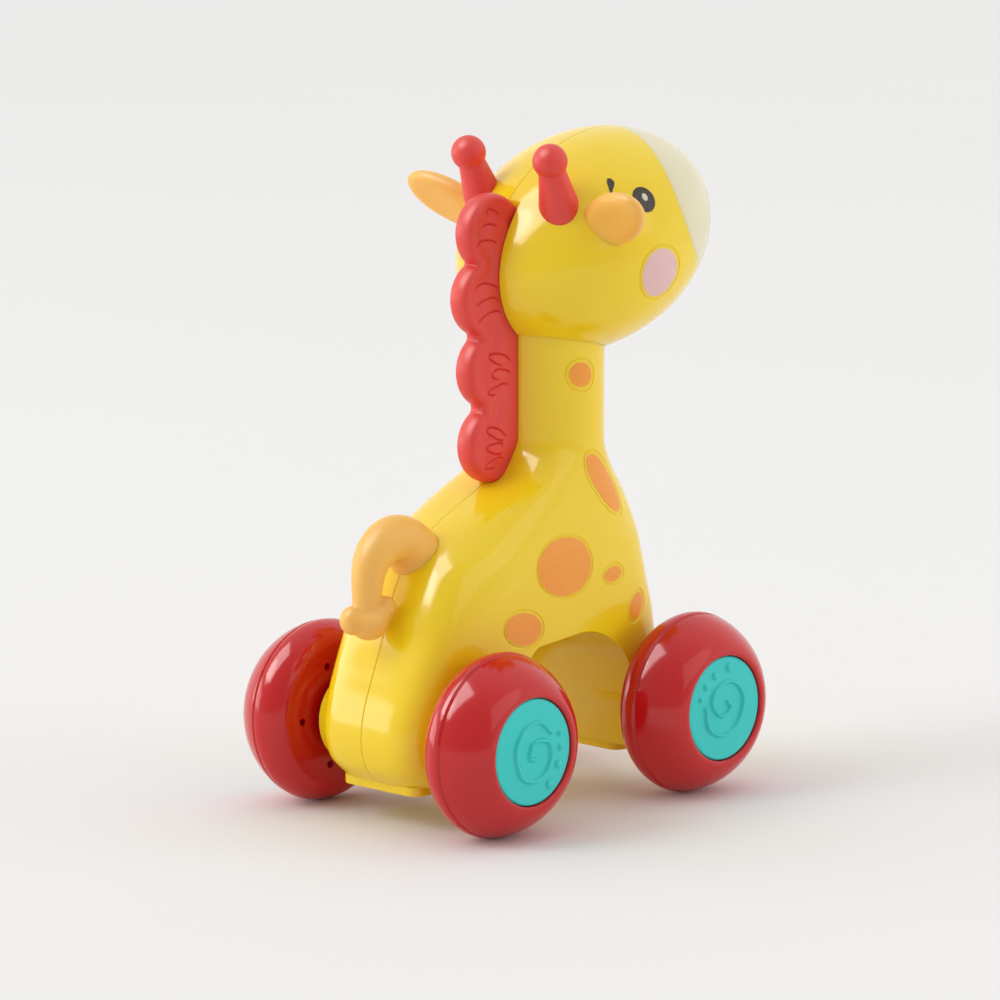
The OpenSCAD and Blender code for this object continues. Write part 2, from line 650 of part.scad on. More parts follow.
// Head: an egg in two halves, with a pale muzzle set into its front
module in_head() {
    translate([head_x, 0, head_z]) rotate([0, -head_tilt, 0]) children();
}
function head_ring(i, grow) =
    let(p = mix(5, 175, i / head_rings), a = head_len / 2 + grow, b = head_w / 2 + grow, c = head_depth / 2 + grow)
    [for (j = [0:head_steps]) let(q = 180 * j / head_steps)
        [-a * cos(p), j % head_steps == 0 ? 0 : b * sin(p) * sin(q), -c * sin(p) * cos(q)]];
module head_egg(grow, reach = 0) {
    in_head() half_loft([for (i = [0:head_rings]) head_ring(i, grow)], reach);
}
module muzzle_bar(grow) {
    in_head() bar_y(muzzle_at, muzzle_r + grow, -big, big);
}
module head_half() {
    difference() {
        head_egg(0);
        difference() {
            head_egg(-shell_wall, 1);
            plunger_socket();
            mane_groove(moving_gap + shell_wall, stop_z);
            for (p = head_screw_places) bar_y(p, screw_post_r, -2, head_w);
        }
        muzzle_bar(0);
        translate([neck_x, 0, head_z - head_depth])
            cylinder(r = neck_r + moving_gap, h = stop_z - head_z + head_depth - 0.2);
        mane_groove(moving_gap, 0);
        at_horn(horn_sink + 0.1) cylinder(r = horn_peg_r + fixed_clear, h = 3 * horn_sink);
        ear_seat();
    }
}
// Groove down the back of the head, which lets it slide past the mane
module mane_groove(grow, from) {
    translate([-big + mane_front + grow, -big / 2, from]) cube([big, big / 2 + mane_t / 2 + grow, big]);
}
// Ring inside the head that holds the plunger's flange, with a rib to the cheek
module plunger_socket() {
    translate([neck_x, 0, stop_z]) difference() {
        union() {
            cylinder(r = socket_r, h = 2 * socket_lip + flange_t);
            translate([-1.5, 0, 0]) cube([3, head_w, 2 * socket_lip + flange_t]);
        }
        translate([0, 0, -1]) cylinder(r = stem_r + 1, h = 20);
        translate([0, 0, socket_lip - 0.05]) cylinder(r = flange_r + 0.1, h = flange_t + 0.1);
    }
}
module head_shell_left() {
    color(yellow) place() difference() {
        head_half();
        for (p = head_screw_places) {
            bar_y(p, screw_r + 0.2, -1, big);
            bar_y(p, screw_sink_r, head_screw_seat, big);
        }
    }
}
module head_shell_right() {
    color(yellow) place() mirror([0, 1, 0]) difference() {
        head_half();
        for (p = head_screw_places) bar_y(p, screw_r + fixed_clear, -1, screw_reach - head_screw_seat + 0.5);
    }
}
// The muzzle's rim butts on the shells, and a lip behind it is caught inside them
module muzzle_half() {
    intersection() {
        difference() {
            head_egg(muzzle_step);
            head_egg(-shell_wall - muzzle_lip[1], 1);
        }
        muzzle_bar(-0.08);
    }
    intersection() {
        difference() {
            head_egg(-shell_wall - 0.05);
            head_egg(-shell_wall - muzzle_lip[1], 1);
        }
        muzzle_bar(muzzle_lip[0]);
    }
}
module muzzle() {
    color(cream) place() {
        muzzle_half();
        mirror([0, 1, 0]) muzzle_half();
    }
}
module head_screws() {
    color(steel) place() for (p = head_screw_places)
        translate([p[0], head_screw_seat, p[1]]) rotate([-90, 0, 0]) screw(screw_reach);
}

// Mane, cut flat along its front
module lobe(at, r, grow) {
    t = mane_t / 2 + grow;
    translate([at[0], 0, at[1]]) rotate([90, 0, 0])
        rotate_extrude() polygon(concat([[0, -t]], arc([r + grow - t, 0], t, -90, 90, 8), [[0, t]]));
}
module mane_form(grow) {
    core = mane_t / 2 + grow - 0.05;
    difference() {
        union() {
            for (p = lobe_places) lobe(p, lobe_r, grow);
            for (p = fill_places) lobe(p, fill_r, grow);
            slab_y(-core, core) polygon(concat(
                lobe_places,
                [[mane_front + 2, lobe_places[3][1]], [mane_front + 2, lobe_places[0][1] + lobe_r * 0.3]]));
        }
        translate([mane_front + grow, -big / 2, 0]) cube(big);
    }
}
module tongue(grow) {
    translate([mane_front - 1, -tongue_t / 2 - grow, tongue_z[0] - grow])
        cube([tie_x + tie_t / 2 - mane_front + 1, tongue_t + 2 * grow, tongue_z[1] - tongue_z[0] + 2 * grow]);
}
module mane() {
    color(coral) place() {
        mane_form(0);
        tongue(0);
        translate([tie_x, -tie_w / 2, tongue_z[0]]) cube([tie_t, tie_w, tongue_z[1] - tongue_z[0]]);
    }
}

// Horns stand on the head on pegs, and ears sit in round seats sunk into it
module at_horn(depth) {
    translate(horn_base) rotate([-horn_lean[1], horn_lean[0], 0]) translate([0, 0, -depth]) children();
}
module horn() {
    ball_r = horn_ball_d / 2;
    difference() {
        at_horn(0) rotate_extrude() polygon(concat(
            [[0, -horn_sink], [horn_seat_r, -horn_sink], [horn_seat_r, 0]],
            [for (k = [1:5]) [mix(horn_seat_r, horn_neck_r, sin(18 * k)), (horn_len - ball_r * 0.64) * k / 5]],
            arc([0, horn_len], ball_r, -36, 86, 12),
            [[0, horn_len + ball_r]]));
        head_egg(0.05);
    }
    at_horn(horn_sink) cylinder(r = horn_peg_r, h = horn_sink + 2);
}
module horn_left() { color(coral) place() horn(); }
module horn_right() { color(coral) place() mirror([0, 1, 0]) horn(); }

// An ear is a leaf with a hollow in its rear face, skinned over rings from inside the head to its tip.
// Each ring is given as its share of the length, of the width and of the thickness
ear_axis = (ear_tip - ear_base) / norm(ear_tip - ear_base);
ear_face = cross(ear_axis, [-sin(ear_roll), 0, cos(ear_roll)]);
ear_front = ear_face / norm(ear_face);
ear_up = cross(ear_front, ear_axis);
ear_shape = [[-0.2, 0.75, 0.7], [0.02, 0.93, 0.9], [0.25, 1, 1], [0.47, 0.98, 0.98], [0.67, 0.86, 0.87],
    [0.83, 0.68, 0.68], [0.93, 0.45, 0.44], [1, 0.15, 0.14]];
ear_sides = 20;
ear_dent = 1.1;
function ear_ring(s) = [for (j = [0:ear_sides - 1]) let(
    a = 360 * j / ear_sides,
    wide = ear_w / 2 * s[1] * cos(a),
    deep = ear_t / 2 * s[2] * sin(a) + (sin(a) < 0 ? ear_dent * pow(sin(a), 4) * sin(180 * max(0, s[0])) : 0))
    ear_base + ear_axis * ear_len * s[0] + ear_up * wide + ear_front * deep];
module at_ear(depth) {
    translate(ear_base - ear_axis * depth)
        rotate([0, 0, atan2(ear_axis[1], ear_axis[0])]) rotate([0, acos(ear_axis[2]), 0]) children();
}
module ear_seat() {
    at_ear(1.6) cylinder(r = ear_root_r + 0.05, h = ear_len);
    at_ear(6) cylinder(r = ear_root_r - 1 + fixed_clear, h = 8);
}
module ear() {
    difference() {
        closed_loft([for (s = ear_shape) ear_ring(s)]);
        head_egg(0.05);
    }
    at_ear(1.6) cylinder(r = ear_root_r, h = 3.2);
    at_ear(5) cylinder(r = ear_root_r - 1, h = 4);
}
module ear_left() { color(amber) place() ear(); }
module ear_right() { color(amber) place() mirror([0, 1, 0]) ear(); }

// Plunger: flange in the head, stem through the neck, and an arm back to the rack
module plunger() {
    color(white) place() {
        translate([neck_x, 0, stop_z + socket_lip]) cylinder(r = flange_r, h = flange_t);
        translate([neck_x, 0, arm_z[0]]) cylinder(r = stem_r, h = stop_z + socket_lip + flange_t / 2 - arm_z[0]);
        translate([rack_x, rack_y[0], arm_z[0]]) cube([neck_x - rack_x, gear_w, arm_z[1] - arm_z[0]]);
        slab_y(rack_y[0], rack_y[1]) polygon(concat(
            [[rack_x + dedendum * gear_module + rack_back, arm_z[1]],
                [rack_x + dedendum * gear_module + rack_back, rack_low],
                [rack_x + dedendum * gear_module, rack_low]],
            [for (k = [-2:5], q = [[-0.3, 1], [-0.12, 0], [0.12, 0], [0.3, 1]])
                [rack_x + (q[1] == 1 ? dedendum : -addendum) * gear_module,
                    drive_at[1] + (k + 0.5 + q[0]) * PI * gear_module]],
            [[rack_x + dedendum * gear_module, arm_z[1]]]));
    }
}

module axle(x) {
    color(steel) place() bar_y([x, 0], axle_r, -axle_end_y, axle_end_y);
}
module rear_axle() { axle(rear_axle_x); }
module front_axle() { axle(front_axle_x); }

// Wheels: the inner half carries the hub, the outer half holds the hub cap, and they meet at the seam.
// Profiles run [radius, distance outward from the seam]
wheel_r = wheel_d / 2;
lip_r = hub_cap_d / 2 + 1;
inner_face_r = wheel_r - 5.5;
cap_proud = 0.5;
cap_floor = wheel_outer_depth - cap_proud - hub_cap_t;
axle_end_y = seam_y + cap_floor - 0.3;
hub_r = axle_r + 2.6;
hub_end = cap_floor - wheel_wall;
pin_hole_circle_r = 12;
pin_hole_r = 0.9;
pin_holes = 5;
wheel_bore_r = axle_r + fixed_clear;
// The outer half is nearly a cone, and its bulge says how nearly: 1 is a quarter of an ellipse, 2 a straight cone
bulge = 1.6;
function outer_curve(grow) = [for (k = [0:10]) let(a = 9 * k)
    [lip_r + grow + (wheel_r - lip_r) * pow(cos(a), bulge), (wheel_outer_depth + grow) * pow(sin(a), bulge)]];
function inner_curve(grow) = [for (k = [0:8]) let(a = 11.25 * k)
    [inner_face_r + grow + (wheel_r - inner_face_r) * cos(a), -(wheel_inner_depth + grow) * sin(a)]];
function reverse(list) = [for (i = [len(list) - 1:-1:0]) list[i]];
module in_wheel(x, side) {
    place() translate([x, side * seam_y, 0]) rotate([-90 * side, 0, 0]) children();
}
module wheel_outer(x, side) {
    floor_low = hub_end + fixed_clear;
    color(red) in_wheel(x, side) rotate_extrude() polygon(concat(
        outer_curve(0),
        [[hub_cap_d / 2 + 0.1, wheel_outer_depth], [hub_cap_d / 2 + 0.1, cap_floor], [wheel_bore_r, cap_floor],
            [wheel_bore_r, floor_low], [lip_r - wheel_wall, floor_low]],
        reverse([for (p = outer_curve(-wheel_wall)) if (p[1] < floor_low - 0.5) p])));
}
module wheel_inner(x, side) {
    color(red) in_wheel(x, side) difference() {
        rotate_extrude() polygon(concat(
            inner_curve(0),
            [[wheel_bore_r, -wheel_inner_depth], [wheel_bore_r, hub_end], [hub_r, hub_end],
                [hub_r, wheel_wall - wheel_inner_depth]],
            reverse(inner_curve(-wheel_wall))));
        for (k = [0:pin_holes - 1]) rotate(360 * k / pin_holes + 38)
            translate([pin_hole_circle_r, 0, -wheel_inner_depth - 1]) cylinder(r = pin_hole_r, h = wheel_wall + 2);
    }
}
module hub_cap(x, side) {
    r = hub_cap_d / 2;
    color(teal) in_wheel(x, side) translate([0, 0, cap_floor]) rotate_extrude()
        polygon([[0, 0], [r, 0], [r, hub_cap_t - 0.4], [r - 0.4, hub_cap_t], [0, hub_cap_t]]);
}
module wheel_outer_rear_left() { wheel_outer(rear_axle_x, 1); }
module wheel_inner_rear_left() { wheel_inner(rear_axle_x, 1); }
module hub_cap_rear_left() { hub_cap(rear_axle_x, 1); }
module wheel_outer_rear_right() { wheel_outer(rear_axle_x, -1); }
module wheel_inner_rear_right() { wheel_inner(rear_axle_x, -1); }
module hub_cap_rear_right() { hub_cap(rear_axle_x, -1); }
module wheel_outer_front_left() { wheel_outer(front_axle_x, 1); }
module wheel_inner_front_left() { wheel_inner(front_axle_x, 1); }
module hub_cap_front_left() { hub_cap(front_axle_x, 1); }
module wheel_outer_front_right() { wheel_outer(front_axle_x, -1); }
module wheel_inner_front_right() { wheel_inner(front_axle_x, -1); }
module hub_cap_front_right() { hub_cap(front_axle_x, -1); }

body_shell_left();
body_shell_right();
rear_base_plate();
front_base_plate();
tail();
shell_screws();
base_screws();
neck_guide();
gearbox_left();
gearbox_right();
gearbox_screws();
drive_pin();
rear_bush_left();
rear_bush_right();
front_bush_left();
front_bush_right();
return_spring();
head_shell_left();
head_shell_right();
muzzle();
mane();
horn_left();
horn_right();
ear_left();
ear_right();
head_screws();
plunger();
drive_gear();
float_gear();
rear_axle();
axle_gear();
front_axle();
wheel_outer_rear_left();
wheel_inner_rear_left();
hub_cap_rear_left();
wheel_outer_rear_right();
wheel_inner_rear_right();
hub_cap_rear_right();
wheel_outer_front_left();
wheel_inner_front_left();
hub_cap_front_left();
wheel_outer_front_right();
wheel_inner_front_right();
hub_cap_front_right();
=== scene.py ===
import json
import math

import bmesh
import bpy
from mathutils import Matrix, Vector
from mathutils.bvhtree import BVHTree
from mathutils.geometry import delaunay_2d_cdt
from mathutils.kdtree import KDTree


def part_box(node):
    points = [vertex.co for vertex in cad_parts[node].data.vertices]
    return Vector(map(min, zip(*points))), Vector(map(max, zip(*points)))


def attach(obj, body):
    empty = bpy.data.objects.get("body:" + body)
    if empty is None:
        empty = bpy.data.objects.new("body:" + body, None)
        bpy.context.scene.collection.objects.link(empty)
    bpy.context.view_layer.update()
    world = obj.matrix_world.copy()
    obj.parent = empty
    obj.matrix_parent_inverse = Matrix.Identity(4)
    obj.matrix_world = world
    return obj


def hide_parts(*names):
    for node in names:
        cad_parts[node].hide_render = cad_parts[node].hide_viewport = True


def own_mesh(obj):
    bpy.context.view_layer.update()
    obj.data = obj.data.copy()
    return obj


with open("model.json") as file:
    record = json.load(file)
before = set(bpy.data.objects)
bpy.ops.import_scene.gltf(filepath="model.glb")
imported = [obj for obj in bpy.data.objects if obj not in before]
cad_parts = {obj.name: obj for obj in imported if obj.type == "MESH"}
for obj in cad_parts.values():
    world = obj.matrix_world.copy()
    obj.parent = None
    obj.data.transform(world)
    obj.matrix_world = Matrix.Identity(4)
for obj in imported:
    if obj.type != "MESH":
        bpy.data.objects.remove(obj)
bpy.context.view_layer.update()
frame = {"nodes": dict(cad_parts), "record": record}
cadNodes = frame["nodes"]
scene = bpy.context.scene
print("frame:", len(cadNodes), "CAD nodes")

# Shapes are drawn in mm, with x from the middle of the wheelbase and z from the floor.
# A finished piece is then moved into the part's frame.
midX = 2.5921
axleZ = 21.0
mm = 0.001
toPart = Matrix.Scale(mm, 4) @ Matrix.Translation((-midX, 0, 0))
bothSides = ((1, "left"), (-1, "right"))


def clamp(t):
    return max(0.0, min(1.0, t))


def arc(start, end, steps):  # angles from start to end
    return [start + (end - start) * k / steps for k in range(steps + 1)]


def circle(steps):  # angles once round
    return [2 * math.pi * k / steps for k in range(steps)]


def mirrored(at, side):  # a place on the left, or the same place on the right
    return Vector((at[0], side * at[1], at[2]))


def shape(name, parts):  # one closed mesh from one or more (points, faces)
    points, faces = [], []
    for partPoints, partFaces in parts:
        faces += [tuple(i + len(points) for i in f) for f in partFaces]
        points += [tuple(p) for p in partPoints]
    mesh = bpy.data.meshes.new(name)
    mesh.from_pydata(points, [], faces)
    work = bmesh.new()
    work.from_mesh(mesh)
    bmesh.ops.recalc_face_normals(work, faces=work.faces)
    work.to_mesh(mesh)
    work.free()
    obj = bpy.data.objects.new(name, mesh)
    scene.collection.objects.link(obj)
    return obj


def band(a, b, n):  # faces between two rings of n points
    return [(a + j, a + (j + 1) % n, b + (j + 1) % n, b + j) for j in range(n)]


def discFaces(centre, n, rings):  # faces of a centre point and the rings of n points after it
    first = centre + 1
    faces = [(centre, first + j, first + (j + 1) % n) for j in range(n)]
    for i in range(rings - 1):
        faces += band(first + i * n, first + (i + 1) * n, n)
    return faces


def loft(rings, closed=False):  # rings of equal length; capped at the ends, or joined into a loop
    n = len(rings[0])
    points = [p for ring in rings for p in ring]
    faces = []
    for i in range(len(rings) if closed else len(rings) - 1):
        faces += band(i * n, (i + 1) % len(rings) * n, n)
    if not closed:
        faces += [tuple(reversed(range(n))), tuple((len(rings) - 1) * n + j for j in range(n))]
    return points, faces


# (radius, height) pairs turned about an axis; half keeps one side of y = 0
def turned(profile, origin, axis, steps=96, half=0):
    along = Vector(axis).normalized()
    side = Vector((along.z, 0, -along.x)) if abs(along.y) < 0.5 else Vector((1, 0, 0))
    side = (side - along * side.dot(along)).normalized()
    up = Vector((0, half, 0)) if half else along.cross(side)
    turns = arc(0, math.pi, steps) if half else circle(steps)
    rays = [side * math.cos(a) + up * math.sin(a) for a in turns]
    origin = Vector(origin)
    return loft([[origin + along * h + ray * r for ray in rays] for r, h in profile])


def bar(r, low, high, origin, axis, steps):  # a plain round bar
    return turned([(r, low), (r, high)], origin, axis, steps)


def tube(path, radii, sides=20, closed=False):  # a round bar along points, its rings kept from twisting
    path = [Vector(p) for p in path]
    n = len(path)
    rings, normal = [], None
    for i, p in enumerate(path):
        before = path[i - 1] if closed or i > 0 else p
        after = path[(i + 1) % n] if closed or i < n - 1 else p
        along = (after - before).normalized()
        normal = along.orthogonal() if normal is None else normal - along * normal.dot(along)
        normal.normalize()
        across = along.cross(normal)
        r = radii[i] if isinstance(radii, list) else radii
        rings.append([p + (normal * math.cos(a) + across * math.sin(a)) * r for a in circle(sides)])
    return loft(rings, closed)


def prism(outline, low, high):  # a side view outline of (x, z), drawn out along y
    return loft([[Vector((x, y, z)) for x, z in outline] for y in (low, high)])


def block(low, high):
    outline = [(low[0], low[2]), (high[0], low[2]), (high[0], high[2]), (low[0], high[2])]
    return prism(outline, low[1], high[1])


cornerTurn = arc(0, math.pi / 2, 8)


def inCorner(r, top, soft):  # a hollow fillet that climbs to (r, top)
    return [(r + soft - soft * math.sin(a), top - soft * math.cos(a)) for a in cornerTurn]


def outCorner(r, top, soft):  # a round edge from (r, top - soft) to (r - soft, top)
    return [(r - soft + soft * math.cos(a), top - soft + soft * math.sin(a)) for a in cornerTurn]


def applied(obj):  # leaves the modifiers' result in the mesh
    graph = bpy.context.evaluated_depsgraph_get()
    made = bpy.data.meshes.new_from_object(obj.evaluated_get(graph))
    obj.modifiers.clear()
    obj.data = made


def carve(obj, kind, *tools):  # boolean steps, which use their tools up
    for tool in tools:
        step = obj.modifiers.new("carve", "BOOLEAN")
        step.operation = kind
        step.solver = "MANIFOLD"
        step.object = tool
    applied(obj)
    for tool in tools:
        bpy.data.objects.remove(tool)


def between(points, share):  # a smooth curve through points, share from 0 to 1
    spot = share * (len(points) - 1)
    i = min(int(spot), len(points) - 2)
    t = spot - i
    p = [Vector(points[max(0, min(len(points) - 1, k))]) for k in (i - 1, i, i + 1, i + 2)]
    return 0.5 * (2 * p[1] + (p[2] - p[0]) * t + (2 * p[0] - 5 * p[1] + 4 * p[2] - p[3]) * t * t
                  + (3 * p[1] - p[0] - 3 * p[2] + p[3]) * t ** 3)


def curveThrough(points, steps):  # that curve, step by step; points with fewer than three values get zeros
    full = [(*p, 0, 0)[:3] for p in points]
    return [between(full, k / steps) for k in range(steps + 1)]


def evenly(points, count):  # the same line in equal steps
    run = [0.0]
    for a, b in zip(points, points[1:]):
        run.append(run[-1] + (b - a).length)
    made, k = [], 0
    for i in range(count):
        want = run[-1] * i / (count - 1)
        while k < len(points) - 2 and run[k + 1] < want:
            k += 1
        span = max(run[k + 1] - run[k], 1e-9)
        made.append(points[k].lerp(points[k + 1], clamp((want - run[k]) / span)))
    return made


def finder(marks):  # a search tree over (place, number) pairs
    tree = KDTree(max(1, len(marks)))
    for place, number in marks:
        tree.insert(place, number)
    tree.balance()
    return tree


def linear(code):  # sRGB hex to linear
    parts = [int(code[i:i + 2], 16) / 255 for i in (1, 3, 5)]
    return [c / 12.92 if c <= 0.04045 else ((c + 0.055) / 1.055) ** 2.4 for c in parts] + [1.0]


def add(tree, kind, settings, links):  # one shader node with its settings and links
    node = tree.nodes.new(kind)
    for key, value in settings.items():
        if key in node.inputs:
            node.inputs[key].default_value = value
        else:
            setattr(node, key, value)
    for key, source in links.items():
        tree.links.new(source, node.inputs[key])
    return node


# Sizes in a material are in mm. Moulded grain is finer on the real pieces, and is drawn just coarse
# enough to show.
def material(spec):
    made = bpy.data.materials.new(spec["name"])
    made.use_nodes = True
    tree = made.node_tree
    tree.nodes.clear()
    where = add(tree, "ShaderNodeTexCoord", {}, {})
    cloud = add(tree, "ShaderNodeTexNoise", {"Scale": 1 / (spec["cloud"] * mm), "Detail": 2.0},
                {"Vector": where.outputs["Object"]})
    tone = add(tree, "ShaderNodeValToRGB", {}, {"Fac": cloud.outputs["Fac"]})
    for stop, place, code in zip(tone.color_ramp.elements, (0.35, 0.65), spec["tones"]):
        stop.position = place
        stop.color = linear(code)
    grain = add(tree, "ShaderNodeTexNoise", {"Scale": 1 / (spec["grain"] * mm), "Detail": 3.0},
                {"Vector": where.outputs["Object"]})
    sheen = add(tree, "ShaderNodeMapRange", {"To Min": spec["rough"][0], "To Max": spec["rough"][1]},
                {"Value": grain.outputs["Fac"]})
    relief = add(tree, "ShaderNodeBump", {"Strength": spec["relief"], "Distance": 0.02 * mm},
                 {"Height": grain.outputs["Fac"]})
    settings = {"IOR": spec.get("ior", 1.5), "Metallic": spec.get("metal", 0.0),
                "Subsurface Weight": spec.get("glow", 0.0), "Subsurface Scale": spec.get("depth", 1.0) * mm,
                "Subsurface Radius": spec.get("spread", (1.0, 0.4, 0.1))}
    skin = add(tree, "ShaderNodeBsdfPrincipled", settings,
               {"Base Color": tone.outputs["Color"], "Roughness": sheen.outputs["Result"],
                "Normal": relief.outputs["Normal"]})
    add(tree, "ShaderNodeOutputMaterial", {}, {"Surface": skin.outputs["BSDF"]})
    return made


# ABS from a polished mould: clear window reflections, and light that soaks in and turns the shade side golden
absYellow = material({"name": "ABS moulded gloss yellow", "tones": ("#F4D01A", "#F6D522"), "cloud": 60,
                      "grain": 0.6, "rough": (0.10, 0.16), "relief": 0.05, "ior": 1.53,
                      "glow": 0.2, "depth": 1.2, "spread": (1.0, 0.7, 0.2)})
# The same process in red: deep colour under a hard gloss
absRed = material({"name": "ABS moulded gloss red", "tones": ("#C41216", "#CA171A"), "cloud": 40,
                   "grain": 0.6, "rough": (0.09, 0.15), "relief": 0.05, "ior": 1.53,
                   "glow": 0.1, "depth": 1.0, "spread": (1.0, 0.1, 0.1)})
# Soft PVC from a fine-blasted mould: broad dull highlights
pvcCoral = material({"name": "PVC moulded satin coral", "tones": ("#E03C32", "#E44238"), "cloud": 25,
                     "grain": 0.4, "rough": (0.36, 0.46), "relief": 0.25, "ior": 1.52,
                     "glow": 0.25, "depth": 1.2, "spread": (1.0, 0.25, 0.2)})
# The same soft PVC in amber: more light soaks in, so shadows stay warm
pvcAmber = material({"name": "PVC moulded satin amber", "tones": ("#F3B954", "#F5BF5C"), "cloud": 25,
                     "grain": 0.4, "rough": (0.36, 0.46), "relief": 0.2, "ior": 1.52,
                     "glow": 0.4, "depth": 2.5, "spread": (1.0, 0.45, 0.1)})
# ABS from a vapour-blasted mould: an even satin face with soft relief
absTeal = material({"name": "ABS moulded satin teal", "tones": ("#22C8C2", "#27CDC7"), "cloud": 25,
                    "grain": 0.5, "rough": (0.30, 0.38), "relief": 0.15, "ior": 1.53,
                    "glow": 0.1, "depth": 1.0, "spread": (0.4, 1.0, 1.0)})
# Pale ABS from a polished mould: glossy, with a milky depth
absCream = material({"name": "ABS moulded gloss cream", "tones": ("#E2D9B4", "#E6DEBC"), "cloud": 50,
                     "grain": 0.6, "rough": (0.10, 0.16), "relief": 0.05, "ior": 1.53,
                     "glow": 0.3, "depth": 2.0, "spread": (1.0, 0.8, 0.5)})


# Pad printed inks: thin films with a little less gloss than the shell under them
def ink(colour, tones, cloud):
    return material({"name": "ink pad printed " + colour, "tones": tones, "cloud": cloud,
                     "grain": 0.35, "rough": (0.22, 0.32), "relief": 0.02, "ior": 1.5})


inkOrange = ink("orange", ("#F3982C", "#F59D32"), 12)
inkPink = ink("pink", ("#E3B9B6", "#E6C0BC"), 12)
inkDark = ink("dark brown", ("#3B3128", "#40362C"), 8)
# Pale: not a print of the toy, but a painted highlight laid on each eye
paintedHighlight = ink("pale", ("#D9D3C2", "#DDD8C8"), 4)
# Acetal, natural: milky and slightly waxy
acetal = material({"name": "acetal moulded natural", "tones": ("#E6E4DC", "#EAE8E1"), "cloud": 15,
                   "grain": 0.5, "rough": (0.25, 0.35), "relief": 0.1, "ior": 1.48,
                   "glow": 0.2, "depth": 1.5, "spread": (1.0, 0.9, 0.8)})
# Zinc plated steel wire and screws: grey metal with fine drawn grain
steel = material({"name": "steel drawn zinc plated", "tones": ("#A9ACAF", "#B9BBBE"), "cloud": 3,
                  "grain": 0.15, "rough": (0.22, 0.4), "relief": 0.3, "metal": 1.0})


def smoothed(mesh, crease):  # smooth faces, with sharp edges past a crease in degrees
    for polygon in mesh.polygons:
        polygon.use_smooth = True
    mesh.set_sharp_from_angle(angle=math.radians(crease))


def deliver(obj, body, look, stands=(), crease=32):  # moves a finished piece into the part
    obj.data.transform(toPart)
    obj.data.materials.clear()
    obj.data.materials.append(look)
    smoothed(obj.data, crease)
    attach(obj, body)
    if stands:
        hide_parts(*stands)
    return obj


# Body: sections by height above the axles.
# A leg row is [height, drawn in at the rear, at the front and at the side, corner].
# A flare row is [share of the rise, shares of the way to the neck at rear, front and side,
# corner in front, corner behind].
body = {"rump": -47.4, "chest": 38.6, "halfWidth": 19.0, "wall": 2.2, "seam": 0.22,
        "legs": [[-11, 4.8, 1.1, 3, 4.6], [-7, 1.4, 0.1, 1, 4.8], [-1, 0, 0, 0.4, 5], [6, 1, 0.4, 0.2, 5],
                 [13, 3.6, 1.3, 0.1, 5], [21, 6.8, 2.6, 0, 4.8], [27, 8.8, 3.8, 0, 4.4],
                 [33, 11.4, 4.5, 0.2, 3.9]],
        "flare": [[0.17, 0.09, 0.04, 0.07, 3.4, 3.4], [0.3, 0.22, 0.11, 0.19, 3, 3],
                  [0.43, 0.4, 0.24, 0.35, 2.7, 2.9], [0.57, 0.64, 0.45, 0.57, 2.4, 3.2],
                  [0.7, 0.87, 0.73, 0.8, 2.2, 3.4], [0.87, 0.98, 0.96, 0.96, 2, 2.2], [1, 1, 1, 1, 2, 2]],
        "neck": [-0.2, 26.6, 13.4], "neckRoot": 63.0, "neckTop": 93.0}
sections = []
for height, rear, front, side, corner in body["legs"]:
    ends = [body["rump"] + rear, body["chest"] - front, body["halfWidth"] - side]
    sections.append([height, *ends, corner, corner])
footZ, shoulder = sections[0][0], sections[-1]
for rise, *shares, cornerFront, cornerRear in body["flare"]:
    ends = [a + (b - a) * share for a, b, share in zip(shoulder[1:4], body["neck"], shares)]
    sections.append([shoulder[0] + (body["neckRoot"] - shoulder[0]) * rise, *ends, cornerFront, cornerRear])
sections.append([body["neckTop"], *body["neck"], 2, 2])


def sectionAt(z):  # passes smoothly from section to section
    i = max(0, min(len(sections) - 2, sum(s[0] <= z for s in sections) - 1))
    a, b = sections[i], sections[i + 1]
    span = b[0] - a[0]
    t = clamp((z - a[0]) / span)

    def slope(k):
        low, high = sections[max(k - 1, 0)], sections[min(k + 1, len(sections) - 1)]
        return [(q - p) / (high[0] - low[0]) for p, q in zip(low, high)]
    weights = (2 * t ** 3 - 3 * t * t + 1, (t ** 3 - 2 * t * t + t) * span,
               3 * t * t - 2 * t ** 3, (t ** 3 - t * t) * span)
    return [sum(w * v for w, v in zip(weights, values)) for values in zip(a, slope(i), b, slope(i + 1))]


def bodyRing(z, inset, side, count, lower=0.0):  # one half of a section, from its front to its rear
    _, rear, front, halfWidth, cornerFront, cornerRear = sectionAt(z)
    mid, half = (rear + front) / 2, (front - rear) / 2 - inset
    fine = []
    for k, a in enumerate(arc(0, math.pi, 360)):
        c, power = math.cos(a), 2 / (cornerFront if k < 180 else cornerRear)
        across = max(math.sin(a), 0.0) ** power if 0 < k < 360 else 0.0
        x = mid + half * math.copysign(abs(c) ** power, c)
        fine.append(Vector((x, side * (halfWidth - inset) * across, z + axleZ - lower)))
    return evenly(fine, count)


def notched(ring, side, depth):  # draws in the two points on the seam, so that two halves leave a fine line
    first, last = ring[0].copy(), ring[-1].copy()
    ring[0] = Vector((first.x, side * depth, first.z))
    ring[-1] = Vector((last.x, side * depth, last.z))
    return [Vector((first.x - depth, 0, first.z)), *ring, Vector((last.x + depth, 0, last.z))]


def levels(step):  # heights from the feet to the top of the neck
    count = round((body["neckTop"] - footZ) / step)
    return [footZ + (body["neckTop"] - footZ) * k / count for k in range(count + 1)]


skinPoints, skinFaces = loft([bodyRing(z, 0, -1, 220) for z in levels(0.5)])
flipped = [tuple(reversed(f)) for f in skinFaces]
skin = {-1: BVHTree.FromPolygons(skinPoints, skinFaces),
        1: BVHTree.FromPolygons([mirrored(p, -1) for p in skinPoints], flipped)}
print("body surface ready")


